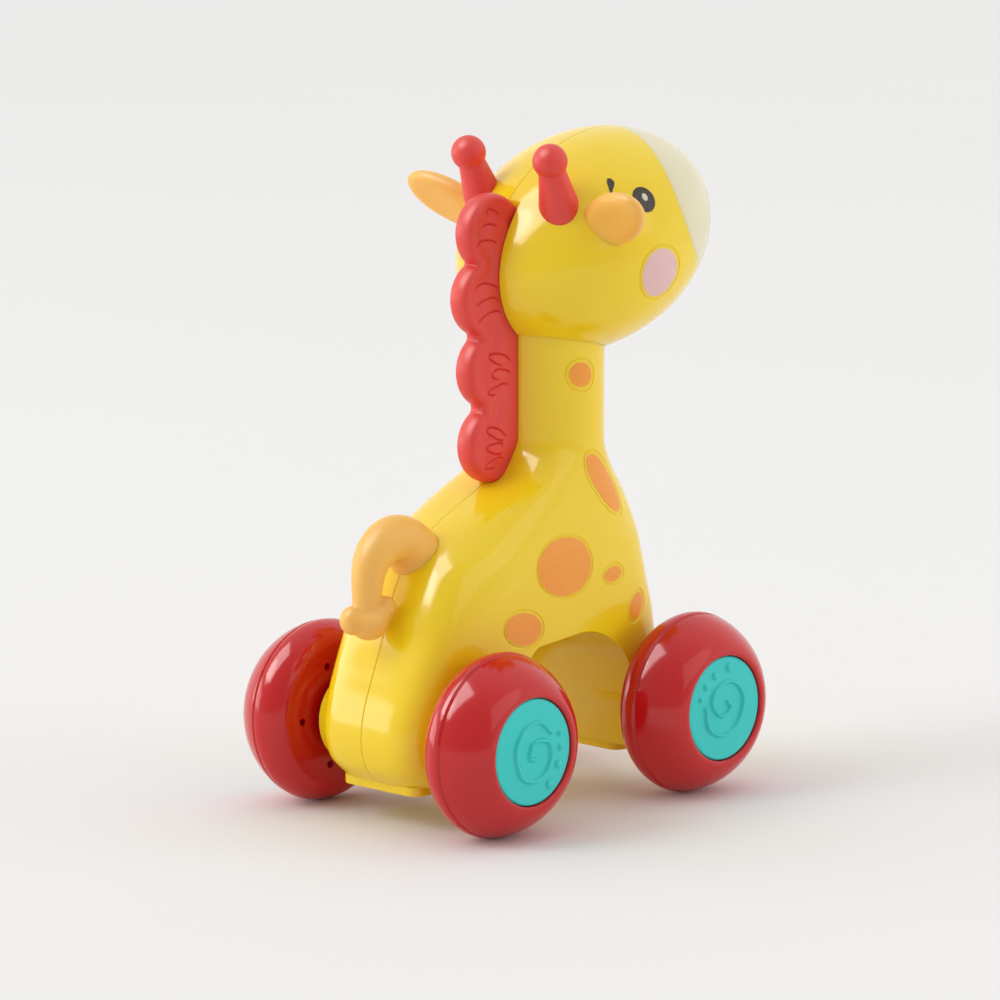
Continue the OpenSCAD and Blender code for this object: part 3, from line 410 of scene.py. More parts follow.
def nearest(tree, point):  # the nearest place on a surface, and its outward direction
    place, out, *_ = tree.find_nearest(Vector(point))
    return place, -out if out.y * place.y < 0 else out


def onto(tree, point, lift):
    place, out = nearest(tree, point)
    return place + out * lift


def frameAt(tree, centre):  # the nearest place, and the directions ahead and up along the surface
    place, out = nearest(tree, centre)
    up = (Vector((0, 0, 1)) - out * out.z).normalized()
    ahead = up.cross(out)
    return place, -ahead if ahead.x < 0 else ahead, up


def oval(spec, grow=0.0, count=72):  # an egg outline as (ahead, up) pairs
    turn, power = math.radians(spec["turn"]), spec.get("round", 1.0)
    made = []
    for a in circle(count):
        c, s = math.cos(a), math.sin(a)
        u = (spec["long"] + grow) * math.copysign(abs(c) ** power, c)
        v = (spec["short"] + grow) * math.copysign(abs(s) ** power, s) * (1 + spec.get("egg", 0.0) * c)
        made.append((u * math.cos(turn) - v * math.sin(turn), u * math.sin(turn) + v * math.cos(turn)))
    return made


# A print stands just proud of the shell and reaches into it
printed = {"lift": 0.06, "under": -0.2, "steps": 10}


def film(tree, centre, outline, lift=printed["lift"]):  # a thin closed layer that follows a surface
    place, ahead, up = frameAt(tree, centre)
    n, steps = len(outline), printed["steps"]
    points, faces = [], []
    for height in (lift, printed["under"]):
        faces += discFaces(len(points), n, steps)
        points.append(onto(tree, place, height))
        for i in range(1, steps + 1):
            share = i / steps
            points += [onto(tree, place + ahead * (u * share) + up * (v * share), height) for u, v in outline]
    rim = 1 + (steps - 1) * n
    return points, faces + band(rim, rim + 1 + steps * n, n)


def groove(tree, centre, outline, r=0.34, lift=0.1):  # a closed bar along an outline, to cut a fine line
    place, ahead, up = frameAt(tree, centre)
    return tube([onto(tree, place + ahead * u + up * v, lift) for u, v in outline], r, 10, closed=True)


# Screw recesses, in the left halves only: each has a wall from behind the screw's head to just under the skin
recess = {"r": 2.6, "wall": 1.3, "behind": 1.8, "under": 1.0, "out": 40, "rayFrom": 60, "steps": 40,
          "body": {"at": [(-31.0, 30 + axleZ), (27.5, 25 + axleZ), (25.5, 44 + axleZ)], "from": 12.0},
          "head": {"at": [(38.5, 112.5), (24.2, 142.2)], "from": 14.0}}


def recessed(half, tree, spec):
    cups, sinks = [], []
    r, behind = recess["r"] + recess["wall"], spec["from"] - recess["behind"]
    for x, z in spec["at"]:
        rings = [[], []]
        for a in circle(recess["steps"]):
            at = Vector((x + r * math.cos(a), recess["rayFrom"], z + r * math.sin(a)))
            hit, *_ = tree.ray_cast(at, Vector((0, -1, 0)))
            rings[0].append(Vector((at.x, min(behind, hit.y - 2 * recess["under"]), at.z)))
            rings[1].append(Vector((at.x, hit.y - recess["under"], at.z)))
        cups.append(shape("cup", [loft(rings)]))
        sink = bar(recess["r"], spec["from"], recess["out"], (x, 0, z), (0, 1, 0), recess["steps"])
        sinks.append(shape("sink", [sink]))
    carve(half, "UNION", *cups)
    carve(half, "DIFFERENCE", *sinks)


# Mane: a plate with four round lobes along its rear, a soft bead round its rim and short curved strokes
# on both faces. The rim is (distance inside the outline, half thickness). The strokes are (x, z).
mane = {"lobes": [(-6.1, 131.2), (-7.8, 116.4), (-6.0, 99.8), (-5.6, 82.7)], "r": 8.9, "front": 0.8,
        "fillets": [0.3, 1.1, 1.2], "from": (-18.0, 70.0), "top": 145.0,
        "rim": [(0, 0), (0.08, 1.0), (0.35, 1.9), (0.85, 2.5), (1.6, 2.8), (2.5, 2.82), (3.5, 2.72),
                (4.6, 2.85), (5.8, 3.2), (7.0, 3.36)],
        "rows": [0.03, 0.12, 0.28, 0.5, 0.8, 1.15, 1.55], "cut": 0.42, "cutSteps": 40,
        "cutRows": [-0.45, -0.3, -0.15, 0, 0.15, 0.3, 0.45],
        "strokes": [
            [(-8.9, 135.9), (-9.3, 136.6), (-8.3, 136.9), (-6.8, 136.4), (-5.6, 135.6)],
            [(-10.4, 133.0), (-9.9, 133.4), (-8.4, 133.5), (-6.8, 133.0)],
            [(-12.2, 129.0), (-11.4, 129.7), (-10.1, 129.9), (-8.4, 129.8), (-6.9, 129.2)],
            [(-12.4, 119.5), (-11.6, 119.9), (-10.1, 120.2), (-8.1, 119.7), (-6.3, 118.8)],
            [(-12.1, 115.5), (-10.9, 116.3), (-9.4, 116.7), (-7.8, 116.8), (-6.3, 116.2)],
            [(-11.7, 111.5), (-10.4, 112.5), (-8.8, 113.4), (-6.9, 113.6), (-5.6, 113.3)],
            [(-5.3, 101.0), (-7.1, 101.7), (-8.4, 102.6), (-8.6, 103.4), (-7.6, 103.8), (-5.8, 103.7),
             (-3.8, 103.0), (-2.4, 101.9)],
            [(-5.9, 97.8), (-7.6, 98.3), (-8.2, 99.1), (-7.6, 99.8), (-6.1, 100.2), (-4.1, 99.9),
             (-2.6, 99.3)],
            [(-7.1, 94.3), (-8.3, 94.5), (-8.9, 94.9), (-7.9, 95.7), (-6.4, 96.3), (-4.8, 96.8),
             (-3.2, 96.6)],
            [(-4.8, 83.7), (-6.4, 84.1), (-8.3, 85.2), (-9.2, 86.1), (-8.8, 86.9), (-7.4, 86.9), (-5.6, 86.2),
             (-4.1, 85.0)],
            [(-5.4, 80.7), (-7.4, 80.9), (-9.1, 81.7), (-9.6, 82.4), (-8.8, 83.0), (-7.3, 83.2), (-5.4, 83.2),
             (-4.8, 82.7)],
            [(-6.8, 77.5), (-8.8, 77.5), (-9.8, 77.8), (-9.0, 78.6), (-7.4, 79.5), (-5.8, 80.0),
             (-4.9, 79.8)]]}
maneRim = curveThrough(mane["rim"], 180)


def maneThick(inside):  # half the thickness at a distance inside the outline
    i = max(1, min(len(maneRim) - 1, sum(1 for p in maneRim if p.x < inside)))
    a, b = maneRim[i - 1], maneRim[i]
    return a.y + (b.y - a.y) * clamp((inside - a.x) / max(b.x - a.x, 1e-9))


def maneEdge():  # places down the rear rim, each with its inward direction
    centres = [Vector(p) for p in mane["lobes"]]
    r, end = mane["r"], len(centres) - 1
    hollows = []
    for a, b, soft in zip(centres, centres[1:], mane["fillets"]):
        along = (b - a).normalized()
        behind = Vector((along.y, -along.x))
        if behind.x > 0:
            behind = -behind
        hollows.append((a + b) / 2 + behind * math.sqrt((r + soft) ** 2 - ((b - a).length / 2) ** 2))
    made = []

    def sweep(centre, radius, turns, inward):
        for a in turns:
            ray = Vector((math.cos(a), math.sin(a)))
            made.append((centre + ray * radius, ray * inward))

    def heading(v):
        return math.atan2(v.y, v.x) % (2 * math.pi)

    first = math.acos((mane["front"] - centres[0].x) / r)
    last = 2 * math.pi - math.acos((mane["front"] - centres[end].x) / r)
    for i, centre in enumerate(centres):
        if i > 0:
            made.pop()
        start = first if i == 0 else heading(hollows[i - 1] - centre)
        sweep(centre, r, arc(start, last if i == end else heading(hollows[i] - centre), 60), -1)
        if i < end:
            made.pop()
            turnTo = heading(centres[i + 1] - hollows[i]) - 2 * math.pi
            sweep(hollows[i], mane["fillets"][i], arc(heading(centre - hollows[i]), turnTo, 14), 1)
    return made


def maneForm(name, grow, spacing, strokes):  # two faces over one outline; the strokes are pressed into both
    front, cutSteps = mane["front"] + grow, mane["cutSteps"]
    edge = [(place - inward * grow, inward) for place, inward in maneEdge()]
    edge[0][0].x = edge[-1][0].x = front
    steps = [(i, edge[i][0], edge[i + 1][0]) for i in range(len(edge) - 1)]
    near = finder([(a.lerp(b, k / 8).to_3d(), i) for i, a, b in steps for k in range(8)])
    lines = [curveThrough(stroke, cutSteps) for stroke in strokes]
    marks = finder([(p, k) for line in lines for k, p in enumerate(line)])
    top, low = edge[0][0].y, edge[-1][0].y
    count = round((top - low) / spacing)
    border = [p for p, _ in edge] + [Vector((front, low + (top - low) * k / count)) for k in range(1, count)]

    points = list(border)  # the outline, rows inside it and along the strokes, and a grid over the rest
    for place, inward in edge[1:-1]:
        points += [place + inward * d for d in mane["rows"]]
    for line in lines:
        for k, p in enumerate(line):
            way = (line[min(k + 1, cutSteps)] - line[max(k - 1, 0)]).normalized()
            points += [Vector((p.x - way.y * o, p.y + way.x * o)) for o in mane["cutRows"]]
    column = 0
    x = mane["from"][0]
    while x < front - 0.3 * spacing:
        z = mane["from"][1] + (column % 2) * spacing / 2
        while z < mane["top"]:
            _, i, away = near.find((x, z, 0))
            place, inward = edge[i]
            inside = (Vector((x, z)) - place).dot(inward) > 0
            clear = not lines or marks.find((x, z, 0))[2] > 0.5
            if inside and away > mane["rows"][-1] + 0.3 * spacing and clear:
                points.append(Vector((x, z)))
            z += spacing
        x += spacing * 0.866
        column += 1
    flat, _, faces, source, *_ = delaunay_2d_cdt(points, [], [tuple(range(len(border)))], 1, 1e-5)
    madeFrom = {i: k for k, ids in enumerate(source) for i in ids}
    rim = {k for k, ids in enumerate(source) if any(i < len(edge) for i in ids)}

    points = []
    for k, p in enumerate(flat):
        h = 0.0
        if k not in rim:
            h = maneThick(near.find(p.to_3d())[2]) + grow
            if lines:
                _, at, away = marks.find(p.to_3d())
                wide = 0.13 + 0.18 * math.sin(math.pi * (0.12 + 0.76 * at / cutSteps)) ** 0.7
                h -= mane["cut"] * max(0.0, 1 - (away / wide) ** 2)
        points.append(Vector((p.x, h, p.y)))
    other = {k: k for k in rim}
    for k in range(len(flat)):
        if k not in rim:
            other[k] = len(points)
            points.append(mirrored(points[k], -1))
    covers = [tuple(f) for f in faces] + [tuple(other[i] for i in reversed(f)) for f in faces]
    wall = [madeFrom[i] for i in (*range(len(edge) - 1, len(border)), 0)]
    for a, b in zip(wall, wall[1:]):
        covers.append(tuple(dict.fromkeys((a, b, other[b], other[a]))))
    return shape(name, [(points, covers)])


# Tail: a bent tapering bar that ends in a tuft, on a round boss over the rump.
# A row of the tuft is a ball: (x, z, y, half width, half height).
tail = {"base": (-26.83, 56.21), "lean": math.radians(-36), "d": 11.4, "voxel": 0.28, "ease": 10,
        "bossR": 6.45, "bossH": 4.7, "bossFrom": -4, "fillet": 2.4, "filletTop": 2.2, "bossEdge": 0.3,
        "path": [(-4.5, 5.9), (-6.8, 7.8), (-9.6, 8.7), (-12.7, 8.2), (-15.6, 6.3), (-17.5, 3.4),
                 (-18.3, -0.2), (-18.5, -4), (-18.6, -7.5), (-18.6, -9)],
        "taper": [1.12, 1.06, 0.99, 0.93, 0.87, 0.8, 0.72, 0.64, 0.58, 0.54, 0.52],
        "tuft": [(-18.2, -9.3, -0.3, 4.4, 4.0), (-21.9, -8.5, 1.2, 2.9, 3.3), (-14.7, -6.1, -2, 2.5, 2.7),
                 (-20.2, -8.9, 0.5, 3.4, 3.3), (-16.5, -7.7, -1.2, 3.3, 3.3)]}
tailAxis = Vector((math.sin(tail["lean"]), 0, math.cos(tail["lean"])))
tailFoot = Vector((tail["base"][0], 0, tail["base"][1]))


def tailBoss(side):
    r, top, soft, edge = tail["bossR"], tail["bossH"], tail["fillet"], tail["bossEdge"]
    profile = [(0.01, tail["bossFrom"]), (r + soft, tail["bossFrom"]), *inCorner(r, tail["filletTop"], soft),
               (r, top - edge), (r - edge, top), (0.01, top)]
    return shape("tailBoss", [turned(profile, tailFoot, tailAxis, 48, side)])


# Bosses round the axles: (x, radius) of each
boss = {"at": [(-32.0, 8.6), (32.0, 6.5)], "from": 15.0, "out": 20.7, "edge": 0.8,
        "flank": 20.2, "fillet": 1.6, "bore": 4.02}


def axleBosses(side):
    made = []
    for x, r in boss["at"]:
        profile = [(0.01, boss["from"]), (r + boss["fillet"], boss["from"]),
                   *inCorner(r, boss["flank"], boss["fillet"]),
                   *outCorner(r, boss["out"], boss["edge"]), (0.01, boss["out"])]
        made.append(shape("boss", [turned(profile, (x, 0, axleZ), (0, side, 0), 72)]))
    return made


# Arch under the belly, in the side view; each round stretch is (centre, radius, first angle, last angle)
arch = {"rear": -13.0, "front": 24.0, "corner": ((-7, 12), 6, 180, 105), "sweep": ((5, 0), 19, 90, 0),
        "low": -21.0, "across": 40}


def archOutline(grow):
    line = [(arch["rear"] - grow, arch["low"])]
    for (cx, cz), r, start, end in (arch["corner"], arch["sweep"]):
        for a in arc(math.radians(start), math.radians(end), 24):
            line.append((cx + (r + grow) * math.cos(a), cz + (r + grow) * math.sin(a)))
    line.append((arch["front"] + grow, arch["low"]))
    return [(x, z + axleZ) for x, z in line]


def bodyHollow():  # the room inside both halves, lower under the slope of the shoulders to keep the wall
    wall, rings = body["wall"], []
    for z in [footZ - 2, *levels(2.0), body["neckTop"] + 2]:
        share = clamp((z - shoulder[0]) / (body["neckRoot"] - shoulder[0]))
        right = bodyRing(z, wall, -1, 60, 0.9 * wall * math.sin(math.pi * share))
        rings.append(right + [mirrored(p, -1) for p in reversed(right[1:-1])])
    for ring, z in ((rings[0], footZ - 3), (rings[-1], body["neckTop"] + 3)):
        for p in ring:
            p.z = z + axleZ
    made = shape("inside", [loft(rings)])
    carve(made, "DIFFERENCE", shape("archWall", [prism(archOutline(wall), -arch["across"], arch["across"])]))
    return made


# Printed spots on each flank: where they lie, their half lengths, how they turn, and the gap to the groove
# round them; one is on the right only, because a screw takes its place on the left
spots = [
    {"at": (10.8, 13.1, 98.1), "long": 3.3, "short": 2.8, "turn": 160, "gap": 0.95},
    {"at": (16.9, 14.7, 72.6), "long": 8.0, "short": 3.5, "turn": -60.5, "gap": 0.95},
    {"at": (-0.5, 18.7, 55.9), "long": 8.7, "short": 6.6, "turn": -1, "gap": 0.5, "egg": 0.06, "round": 0.94},
    {"at": (15.8, 18.6, 52.0), "long": 3.0, "short": 1.7, "turn": 6, "gap": 0.75},
    {"at": (24.3, 18.2, 43.4), "long": 3.3, "short": 2.3, "turn": 53, "gap": 0.75, "only": -1},
    {"at": (-14.3, 19.0, 43.5), "long": 5.9, "short": 3.7, "turn": -11, "gap": 0.6, "round": 0.96},
]

for side, word in bothSides:
    rings = [notched(bodyRing(z, 0, side, 110), side, body["seam"]) for z in levels(0.8)]
    half = shape("body_" + word, [loft(rings)])
    carve(half, "UNION", *axleBosses(side), tailBoss(side))
    shown = [s for s in spots if s.get("only", side) == side]
    across, seatR = arch["across"] + 1, tail["bossR"] - 0.2
    tools = [bodyHollow(), shape("arch", [prism(archOutline(0), -across, across)]),
             maneForm("maneSeat", 0.04, 1.2, [])]
    bores = [bar(boss["bore"], 5, 30, (x, 0, axleZ), (0, side, 0), 48) for x, _ in boss["at"]]
    tools += [shape("bore", [bore]) for bore in bores]
    lines = [groove(skin[side], mirrored(s["at"], side), oval(s, s["gap"], 96)) for s in shown]
    tools.append(shape("spotLines", lines))
    tools.append(shape("tailSeat", [bar(seatR, tail["bossH"], 9, tailFoot, tailAxis, 64)]))
    carve(half, "DIFFERENCE", *tools)
    if side > 0:
        recessed(half, skin[side], recess["body"])
    deliver(half, "body", absYellow, ["body_shell_" + word])
    prints = [film(skin[side], mirrored(s["at"], side), oval(s)) for s in shown]
    deliver(shape("spots_" + word, prints), "body", inkOrange)

# Base plates: round-cornered, with a soft lower edge of (height, inset) layers and sinks for rows of screws
plate = {"rear": {"span": (-42.2, -14.0), "screws": (-38.5, -19.5)},
         "front": {"span": (24.6, 35.8), "screws": (30.7,)},
         "corner": 3.2, "halfWidth": 12.1, "layers": [(10.1, 0.0), (8.35, 0.0), (8.12, 0.08), (8.0, 0.25)],
         "sinkR": 2.45, "screwY": 9.4}
for word in ("rear", "front"):
    rear, front = plate[word]["span"]
    rings = []
    for height, inset in plate["layers"]:
        ring = []
        for k in range(64):
            a = 2 * math.pi * (k + 0.5) / 64
            c, s = math.cos(a), math.sin(a)
            cx = (front if c > 0 else rear) - math.copysign(plate["corner"], c)
            cy = math.copysign(plate["halfWidth"] - plate["corner"], s)
            r = plate["corner"] - inset
            ring.append(Vector((cx + r * c, cy + r * s, height)))
        rings.append(ring)
    made = shape(word + "_base_visual", [loft(rings)])
    places = [(x, y, 0) for x in plate[word]["screws"] for y in (plate["screwY"], -plate["screwY"])]
    sinks = [bar(plate["sinkR"], 7, 11, at, (0, 0, 1), 40) for at in places]
    carve(made, "DIFFERENCE", shape("sinks", sinks))
    deliver(made, "body", absYellow, [word + "_base_plate"])
print("body built")

deliver(maneForm("mane_visual", 0, 0.5, mane["strokes"]), "body", pvcCoral, ["mane"], 60)

root = tailAxis * tail["bossH"]
line = [p + tailFoot for p in curveThrough([(x, 0, z) for x, z in [(root.x, root.z), *tail["path"]]], 60)]
radii = [p.x * tail["d"] / 2 for p in curveThrough([(t,) for t in tail["taper"]], 60)]
made = shape("tail_visual", [tube(line, radii, 48)])
tufts = []
for x, z, y, wide, tall in tail["tuft"]:
    ball = [(wide * math.sin(a) + 0.001, -tall * math.cos(a)) for a in arc(0, math.pi, 24)]
    tufts.append(shape("tuft", [turned(ball, tailFoot + Vector((x, y, z)), (0, 0, 1), 40)]))
carve(made, "UNION", *tufts)
soft = made.modifiers.new("skin", "REMESH")
soft.mode = "VOXEL"
soft.voxel_size = tail["voxel"]
ease = made.modifiers.new("ease", "SMOOTH")
ease.factor = 0.5
ease.iterations = tail["ease"]
applied(made)
deliver(made, "body", pvcAmber, ["tail"])
print("mane and tail built")

# Head: an egg tilted nose up, in two halves, with a pale muzzle over the front.
# The groove for the mane is (x of its end, half width).
head = {"centre": Vector((25.7, 0, 126.7)), "half": (33.3, 26.7, 24.0), "tilt": math.radians(22.7),
        "wall": 2.2, "muzzleAt": (29.97, 1.44), "muzzleR": 22.0, "muzzleGap": 0.08,
        "proud": 0.15, "sunk": 0.05, "slope": 1.4, "neckX": 13.2, "neckHole": 13.8, "neckCut": (80, 126),
        "groove": (0.95, 3.55), "grooveWall": 1.6}
ahead = Vector((math.cos(head["tilt"]), 0, math.sin(head["tilt"])))
upward = Vector((-math.sin(head["tilt"]), 0, math.cos(head["tilt"])))


def headPoint(u, y, w):
    return head["centre"] + ahead * u + upward * w + Vector((0, y, 0))


def egg(grow, side=0, rings=96, steps=72):  # the whole egg, or one half with its seam drawn in
    a, b, c = (h + grow for h in head["half"])
    turns = arc(0, math.pi, steps) if side else circle(steps)
    made = []
    for p in arc(0, math.pi, rings):
        u, reach = a * math.cos(p), max(math.sin(p), 0.0005)
        ring = [headPoint(u, (side or 1) * b * reach * math.sin(q), c * reach * math.cos(q)) for q in turns]
        if side:
            depth = body["seam"] * min(1.0, reach * 4)
            ring[0].y = ring[-1].y = side * depth
            ring = [headPoint(u, 0, c * reach - depth), *ring, headPoint(u, 0, depth - c * reach)]
        made.append(ring)
    return loft(made)


def muzzleBar(r, reach):  # the round outline of the muzzle in the side view, drawn out across the head
    return bar(r, -reach, reach, headPoint(head["muzzleAt"][0], 0, head["muzzleAt"][1]), (0, 1, 0), 160)


headSkin = BVHTree.FromPolygons(*egg(0, 0, 240, 240))
# Face prints, and a pale oval on each eye that is a painted highlight; the left eye stands aside from a screw
cheek = {"at": (23.4, 26.1, 121.4), "long": 6.0, "short": 5.5, "turn": -62, "gap": 0.85}
eye = {"at": (21.1, 22.9, 138.2), "long": 3.2, "short": 2.85, "turn": 99, "aside": 0.8}
glint = {"at": (21.5, 22.7, 138.6), "long": 0.95, "short": 0.68, "turn": 95, "lift": 0.1}
lash = {"at": (15.72, 17.5, 142.0),
        "line": [(-0.3, 1.2), (0, 0.2), (-0.1, -1.0), (-0.35, -2.3), (-0.1, -3.3)],
        "r": [0.3, 0.85, 0.7, 0.32, 0.25], "steps": 24, "across": 6}


def lashPrint(side):  # a stroke that swells and thins along its line
    place, fore, up = frameAt(headSkin, mirrored(lash["at"], side))
    line = curveThrough(lash["line"], lash["steps"])
    width = curveThrough([(r,) for r in lash["r"]], lash["steps"])
    rings = []
    for k, p in enumerate(line):
        way = (line[min(k + 1, lash["steps"])] - line[max(k - 1, 0)]).normalized()
        aside = Vector((-way.y, way.x, 0)) * width[k].x
        row = [p + aside * (1 - 2 * j / lash["across"]) for j in range(lash["across"] + 1)]
        top, low = ([onto(headSkin, place + fore * q.x + up * q.y, height) for q in row]
                    for height in (printed["lift"], printed["under"]))
        rings.append(top + list(reversed(low)))
    return loft(rings)


for side, word in bothSides:
    half = shape("head_" + word, [egg(0, side)])
    inside = shape("inside", [egg(-head["wall"])])
    end, wide = head["groove"]
    wall = head["grooveWall"]
    grooveWall = block((-40, -wide - wall, 80), (end + wall, wide + wall, 170))
    carve(inside, "DIFFERENCE", shape("grooveWall", [grooveWall]))
    neck = bar(head["neckHole"], *head["neckCut"], (head["neckX"], 0, 0), (0, 0, 1), 96)
    cheekAt = mirrored(cheek["at"], side)
    carve(half, "DIFFERENCE", inside, shape("muzzleCut", [muzzleBar(head["muzzleR"], 60)]),
          shape("neckCut", [neck]), shape("grooveCut", [block((-41, -wide, 81), (end, wide, 171))]),
          shape("cheekLine", [groove(headSkin, cheekAt, oval(cheek, cheek["gap"], 96))]))
    if side > 0:
        recessed(half, headSkin, recess["head"])
    deliver(half, "head", absYellow, ["head_shell_" + word])
    deliver(shape("cheek_" + word, [film(headSkin, cheekAt, oval(cheek))]), "head", inkPink)
    aside = Vector((-eye["aside"], 0, -eye["aside"])) if side > 0 else Vector((0, 0, 0))
    eyeAt, glintAt = (mirrored(p["at"], side) + aside for p in (eye, glint))
    deliver(shape("eye_" + word, [film(headSkin, eyeAt, oval(eye))]), "head", inkDark)
    # A pale film over each eye: a painted highlight
    light = film(headSkin, glintAt, oval(glint, 0, 32), glint["lift"])
    deliver(shape("eye_painted_highlight_" + word, [light]), "head", paintedHighlight)
    deliver(shape("lash_" + word, [lashPrint(side)]), "head", inkDark)

made = shape("muzzle_visual", [egg(0, 0, 160, 160)])
for v in made.data.vertices:  # stands a little proud, and falls back to the shells along its edge
    away = v.co - head["centre"]
    offset = math.hypot(away.dot(ahead) - head["muzzleAt"][0], away.dot(upward) - head["muzzleAt"][1])
    share = clamp((head["muzzleR"] - offset) / head["slope"])
    v.co += away.normalized() * (head["proud"] * share * share * (3 - 2 * share) - head["sunk"] * (1 - share))
carve(made, "INTERSECT", shape("outline", [muzzleBar(head["muzzleR"] - head["muzzleGap"], 61)]))
carve(made, "DIFFERENCE", shape("inside", [egg(-head["wall"], 0)]))
deliver(made, "head", absCream, ["muzzle"])
print("head built")

# Horns: straight cones with a ball end, cut to the crown
horn = {"base": (4.49, 11.8, 137.9), "axis": (-0.352, 0.086, 0.933), "r": (4.5, 3.1), "ball": 4.0,
        "len": 10.5, "root": -5}
# Ears: leaves that stand across the head, hollowed in the rear face.
# A row is (share of the length, share of the width).
ear = {"base": (12.0, 16.05, 130.75), "tip": (4.5, 35.65, 139.67), "half": (6.2, 3.4),
       "roll": math.radians(35.5), "dent": 1.5, "dentFrom": 0.2,
       "rows": [(0, 0.6), (0.1, 0.75), (0.26, 0.92), (0.44, 1), (0.6, 0.98), (0.75, 0.87), (0.87, 0.68),
                (0.95, 0.44), (0.99, 0.2), (1, 0.02)]}
crownGap = 0.03


def hornForm(side):
    low, high = horn["r"]
    ballR, reach = horn["ball"], horn["len"]
    meet = reach - math.sqrt(ballR ** 2 - high ** 2)
    profile = [(0.01, horn["root"]), (low + 0.1, horn["root"])]
    profile += [(low + (high - low) * k / 12, meet * k / 12) for k in range(12)]
    turns = arc(math.asin(high / ballR), math.pi, 28)
    profile += [(ballR * math.sin(a) + 0.001, reach - ballR * math.cos(a)) for a in turns]
    return turned(profile, mirrored(horn["base"], side), mirrored(horn["axis"], side), 72)


def earForm(side):
    base, tip = mirrored(ear["base"], side), mirrored(ear["tip"], side)
    axis = (tip - base).normalized()
    fore = axis.cross(Vector((-math.sin(ear["roll"]), 0, math.cos(ear["roll"]))) * side).normalized()
    tall = fore.cross(axis) * side
    rings = []
    for t, wide, _ in curveThrough(ear["rows"], 60):
        dent = ear["dent"] * math.sin(math.pi * clamp((t - ear["dentFrom"]) / (1 - ear["dentFrom"]))) ** 1.2
        ring = []
        for a in circle(72):
            c, s = math.cos(a), math.sin(a)
            deep = ear["half"][1] * wide * s + (dent * s ** 4 if s < 0 else 0.0)
            ring.append(base + (tip - base) * t + tall * (ear["half"][0] * wide * c) + fore * deep)
        rings.append(ring)
    return loft(rings)


for side, word in bothSides:
    made = shape("horn_visual_" + word, [hornForm(side)])
    carve(made, "DIFFERENCE", shape("crown", [egg(crownGap)]))
    deliver(made, "head", pvcCoral, ["horn_" + word])
    made = shape("ear_visual_" + word, [earForm(side)])
    carve(made, "DIFFERENCE", shape("crown", [egg(crownGap)]))
    deliver(made, "head", pvcAmber, ["ear_" + word], 50)
print("horns and ears built")

# Wheels: an outer and an inner half on the axle, with a fine notch where they meet.
# A place is (axle, x, turn of the cap in degrees); pins are (ring radius, radius, first angle, count).
wheel = {"places": [("rear", -32.0, 0), ("front", 32.0, 139)], "r": 21.0, "wall": 2.0,
         "bore": 2.05, "hub": 4.5, "seamY": 29.3, "wideY": 27.8, "inY": 22.0, "lipY": 39.0, "lipR": 13.1,
         "lipSoft": 0.5, "faceR": 16.2, "bulge": (1.32, 1.15), "notch": 0.36, "capR": 12.1,
         "capY": (36.4, 38.5), "capGap": 0.1, "seat": (5.2, 0.2), "pins": (12.0, 0.9, 38, 5)}
# Hub cap: a raised spiral with drops beside it, each drop (across, up, radius)
cap = {"spiral": [(0.4, -1.6), (-1.3, -1.2), (-0.6, 1.6), (1.7, 2.4), (4.6, 1.6), (5.6, -1.2), (3.8, -5.0),
                  (0, -6.6), (-4.2, -4.8), (-5.8, 0.9), (-3.2, 5.4), (1.7, 6.6), (5.6, 3.7)],
       "drops": [(8.34, 3.09, 0.65), (8.76, -0.11, 0.85), (7.91, -3.89, 1.0), (5.13, -8.02, 1.15)],
       "width": 0.68, "height": 0.75, "crown": 0.15, "edge": 0.5, "bare": 0.6, "rings": 84, "around": 300}


def wheelSections():  # outlines of the outer and the inner half, as (radius, y)
    seamY, wideY, inY, lipY = (wheel[word] for word in ("seamY", "wideY", "inY", "lipY"))
    r, lipR, faceR, bore, hub, wall = (wheel[word] for word in ("r", "lipR", "faceR", "bore", "hub", "wall"))
    (outPower, inPower), gap, notch = wheel["bulge"], wheel["capGap"], wheel["notch"]
    floorY = wheel["capY"][0]
    tread, flank = [], []
    for a in arc(0, math.pi / 2, 48):
        c, s = max(0.0, math.cos(a)), math.sin(a)
        tread.append((lipR + (r - lipR) * c ** outPower, wideY + (lipY - wideY) * s ** outPower))
        flank.append((faceR + (r - faceR) * c ** inPower, wideY - (wideY - inY) * s ** inPower))
    skinOut = [q for q in tread if q[1] > seamY + notch]
    seamR = skinOut[0][0] + 0.05
    soft, lipIn = wheel["lipSoft"], wheel["capR"] + 0.15
    lip = [(lipIn + soft - soft * math.sin(a), lipY - soft + soft * math.cos(a)) for a in cornerTurn]
    under = [(q - wall, y - 1.4) for q, y in reversed(skinOut[::3]) if seamY + 1.7 < y < floorY - 1]
    outer = [(seamR - notch, seamY), *skinOut, *lip, (wheel["capR"] + gap, floorY - gap),
             (bore, floorY - gap), (bore, seamY + gap), (hub, seamY + gap), (hub, floorY - wall),
             (lipR - 1.2, floorY - wall), *under, (seamR - wall, seamY)]
    skinIn = [q for q in reversed(tread) if wideY < q[1] < seamY - notch] + flank
    under = [(q - wall, max(y + 1.2, inY + wall)) for q, y in reversed(flank[::4])]
    seatR, step = wheel["seat"]
    inner = [(seamR - notch, seamY), *skinIn, (seatR, inY), (seatR - step, inY + step),
             (bore + step, inY + step), (bore, inY + 2 * step), (bore, seamY - gap), (hub, seamY - gap),
             (hub, inY + wall), *under, (seamR - wall, seamY)]
    return outer, inner


def lathed(section, x, side):  # a wheel half, turned about its axle
    return loft([[Vector((x + r * math.cos(a), side * y, axleZ + r * math.sin(a))) for r, y in section]
                 for a in circle(160)], True)


spiral = finder([(p, k) for k, p in enumerate(curveThrough(cap["spiral"], 700))])


